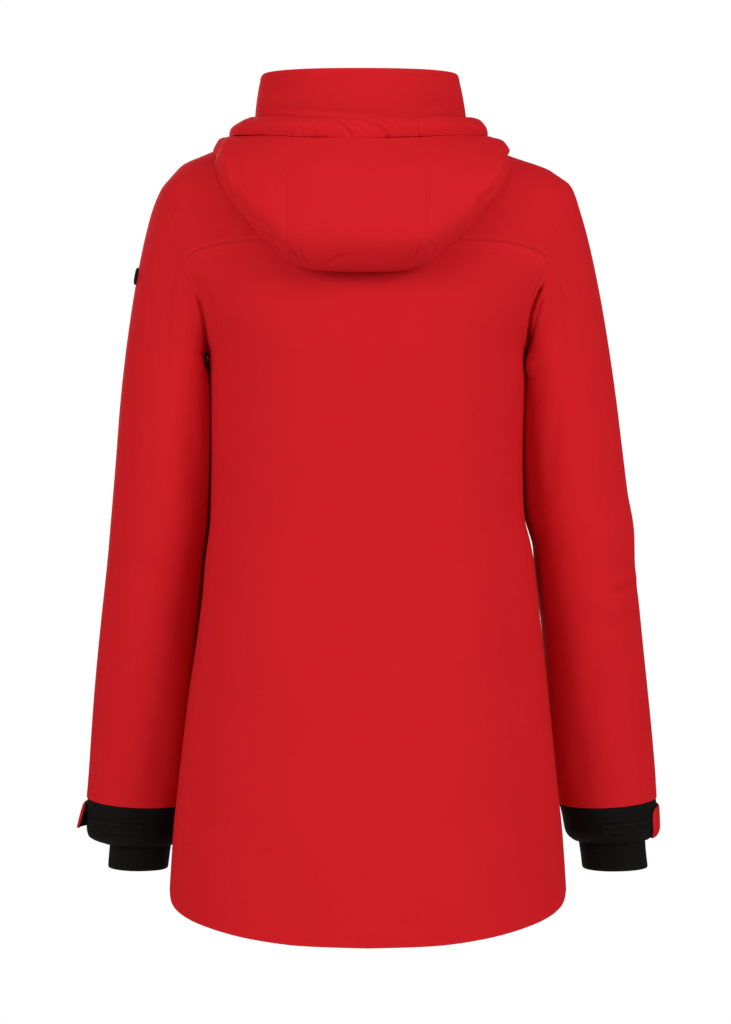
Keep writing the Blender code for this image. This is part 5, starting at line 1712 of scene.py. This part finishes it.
def toothMesh(look):
    # one tooth along +X
    length, height, depth = look["toothLength"], look["toothHeight"], look["toothDepth"]
    half = depth * look["toothBody"]
    mesh = bmesh.new()
    outline = look["toothOutline"] + [(x, -z) for x, z in reversed(look["toothOutline"])]
    top = [mesh.verts.new((x * length, half, z * height)) for x, z in outline]
    low = [mesh.verts.new((x * length, -half, z * height)) for x, z in outline]
    mesh.faces.new(top)
    mesh.faces.new(low[::-1])
    for i in range(len(outline)):
        j = (i + 1) % len(outline)
        mesh.faces.new((top[j], top[i], low[i], low[j]))
    bmesh.ops.recalc_face_normals(mesh, faces=mesh.faces)
    edges = [e for e in mesh.edges if abs(e.verts[0].co.y - e.verts[1].co.y) < 1e-6]
    bmesh.ops.bevel(mesh, geom=edges, offset=depth * look["toothBevel"], segments=1, affect="EDGES")
    data = bpy.data.meshes.new("tooth")
    mesh.to_mesh(data)
    mesh.free()
    data.materials.append(looks["mouldedTeeth"])
    return bpy.data.objects.new("tooth", data)


def rowTree(name):
    # sets a small shape at even steps along a line, turned to follow it
    tree = bpy.data.node_groups.new(name, "GeometryNodeTree")
    face = tree.interface
    face.new_socket(name="Geometry", in_out="INPUT", socket_type="NodeSocketGeometry")
    names = {}
    for label, kind in (("Step", "Float"), ("Shape", "Object"), ("Finish", "Material")):
        socket = face.new_socket(name=label, in_out="INPUT", socket_type="NodeSocket" + kind)
        names[label] = socket.identifier
    face.new_socket(name="Geometry", in_out="OUTPUT", socket_type="NodeSocketGeometry")
    given = tree.nodes.new("NodeGroupInput")
    made = tree.nodes.new("NodeGroupOutput")
    curve = tree.nodes.new("GeometryNodeMeshToCurve")
    points = addNode(tree, "GeometryNodeCurveToPoints", mode="LENGTH")
    shape = addNode(tree, "GeometryNodeObjectInfo", As_Instance=True)
    place = tree.nodes.new("GeometryNodeInstanceOnPoints")
    turn = addNode(tree, "GeometryNodeInputNamedAttribute", data_type="FLOAT_VECTOR", Name="facing")
    align = addNode(tree, "FunctionNodeAxesToRotation", primary_axis="Z", secondary_axis="Y")
    real = tree.nodes.new("GeometryNodeRealizeInstances")
    finish = tree.nodes.new("GeometryNodeSetMaterial")
    for source, output, target, slot in (
        (given, "Geometry", curve, "Mesh"),
        (curve, "Curve", points, "Curve"),
        (given, "Step", points, "Length"),
        (given, "Shape", shape, "Object"),
        (points, "Points", place, "Points"),
        (shape, "Geometry", place, "Instance"),
        (points, "Tangent", align, "Primary Axis"),
        (turn, "Attribute", align, "Secondary Axis"),
        (align, "Rotation", place, "Rotation"),
        (place, "Instances", real, "Geometry"),
        (real, "Geometry", finish, "Geometry"),
        (given, "Finish", finish, "Material"),
        (finish, "Geometry", made, "Geometry"),
    ):
        tree.links.new(source.outputs[output], target.inputs[slot])
    return tree, names


alongLine, alongNames = rowTree("alongLine")


def setAlong(name, lines, shape, step, finish, slot, *nodes):
    # lines: (points, outward normals) pairs; the shape's Y axis turns outwards
    points, edges, facing = [], [], []
    for line, normals in lines:
        base = len(points)
        points += [tuple(p) for p in line]
        facing += [tuple(n) for n in normals]
        edges += [(base + i, base + i + 1) for i in range(len(line) - 1)]
    mesh = bpy.data.meshes.new(name + "Line")
    mesh.from_pydata(points, edges, [])
    out = mesh.attributes.new("facing", "FLOAT_VECTOR", "POINT")
    out.data.foreach_set("vector", np.array(facing, float).ravel())
    guide = bpy.data.objects.new(name + "Line", mesh)
    scene.collection.objects.link(guide)
    scene.collection.objects.link(shape)
    modifier = guide.modifiers.new("along", "NODES")
    modifier.node_group = alongLine
    modifier[alongNames["Step"]] = step
    modifier[alongNames["Shape"]] = shape
    modifier[alongNames["Finish"]] = finish
    guide.update_tag()
    bpy.context.view_layer.update()
    graph = bpy.context.evaluated_depsgraph_get()
    real = bpy.data.meshes.new_from_object(guide.evaluated_get(graph))
    real.name = name
    piece = bpy.data.objects.new(name, real)
    scene.collection.objects.link(piece)
    guide.modifiers.clear()
    for gone in (guide, shape):
        bpy.data.objects.remove(gone, do_unlink=True)
    fit(piece, slot, *nodes)
    return piece


def makeTeeth(look):
    half = look["toothLength"] / 2 + look["teethApart"]
    step = look["toothPitch"]
    for side, sign, nodes in (("left", 1, ["zip_chain"]), ("right", -1, [])):
        line, normals = frontLine(sign * half, look["chainTopGap"], look["teethUnder"], look["lineSteps"])
        tooth = toothMesh(look)
        if sign < 0:
            line = line + unit(line[1] - line[0]) * step / 2
        else:
            for vertex in tooth.data.vertices:
                vertex.co.x *= -1
            tooth.data.flip_normals()
        finish = looks["mouldedTeeth"]
        row = setAlong(side + "Teeth", [(line, normals)], tooth, step, finish, "zip_chain", *nodes)
        row.data.polygons.foreach_set("use_smooth", np.zeros(len(row.data.polygons), bool))


makeZipTapes(zipCut)
makeTeeth(zipCut)
print("zip ready")


# stitching

sewing = {
    "length": 0.0024,
    "thick": 0.00045,
    "flat": 0.7,
    "step": 0.0032,
    "frontInset": 0.006,
    "collarInset": 0.0045,
    "sleeveInset": 0.005,
    "lift": 0.0001,
}


def stitchShape(look):
    mesh = bmesh.new()
    bmesh.ops.create_uvsphere(mesh, u_segments=6, v_segments=4, radius=0.5)
    for vertex in mesh.verts:
        vertex.co.x *= look["thick"]
        vertex.co.y *= look["thick"] * look["flat"]
        vertex.co.z *= look["length"]
    for face in mesh.faces:
        face.smooth = True
    data = bpy.data.meshes.new("stitch")
    mesh.to_mesh(data)
    mesh.free()
    return bpy.data.objects.new("stitch", data)


def lineOnGrid(points, row, inset):
    # a line on a piece, an inset in from its first row (0) or its last (-1)
    if row == -1:
        points = points[::-1]
    lengths = arcAlong(points, 0)
    line = np.empty((points.shape[1], 3))
    for i in range(points.shape[1]):
        for axis in range(3):
            line[i, axis] = np.interp(inset, lengths[:, i], points[:, i, axis])
    inwards = points[min(3, len(points) - 1)] - points[0]
    return line, unit(np.cross(np.gradient(line, axis=0), inwards))


def outFrom(line, normals, centre):
    # turns the normals away from the middle of the jacket or the arm, and lifts the line onto the cloth
    sign = np.sign((normals * (line - centre)).sum(-1, keepdims=True))
    normals = normals * np.where(sign == 0, 1, sign)
    return line + normals * sewing["lift"], normals


def makeSewing(look):
    upright = np.array([0, 0, 1.0])
    red = []
    for face in frontFaces:
        line, normals = lineOnGrid(face.transpose(1, 0, 2), -1, look["frontInset"])
        red.append(outFrom(line, normals, line * upright))
    line, normals = lineOnGrid(collarFace, 0, look["collarInset"])
    red.append(outFrom(line, normals, line * upright))
    for side in ("left", "right"):
        line, normals = lineOnGrid(closedRing(sleeves[side][1]), -1, look["sleeveInset"])
        red.append(outFrom(line, normals, line.mean(axis=0)))
    setAlong("redStitches", red, stitchShape(look), look["step"], looks["redThread"], "shell_cloth")


makeSewing(sewing)
print("stitching ready")


# slider and pull

for node in ("zip_slider", "zip_pull"):
    solid = frame["nodes"][node]
    solid.data.materials.clear()
    solid.data.materials.append(looks["blackLacquer"])
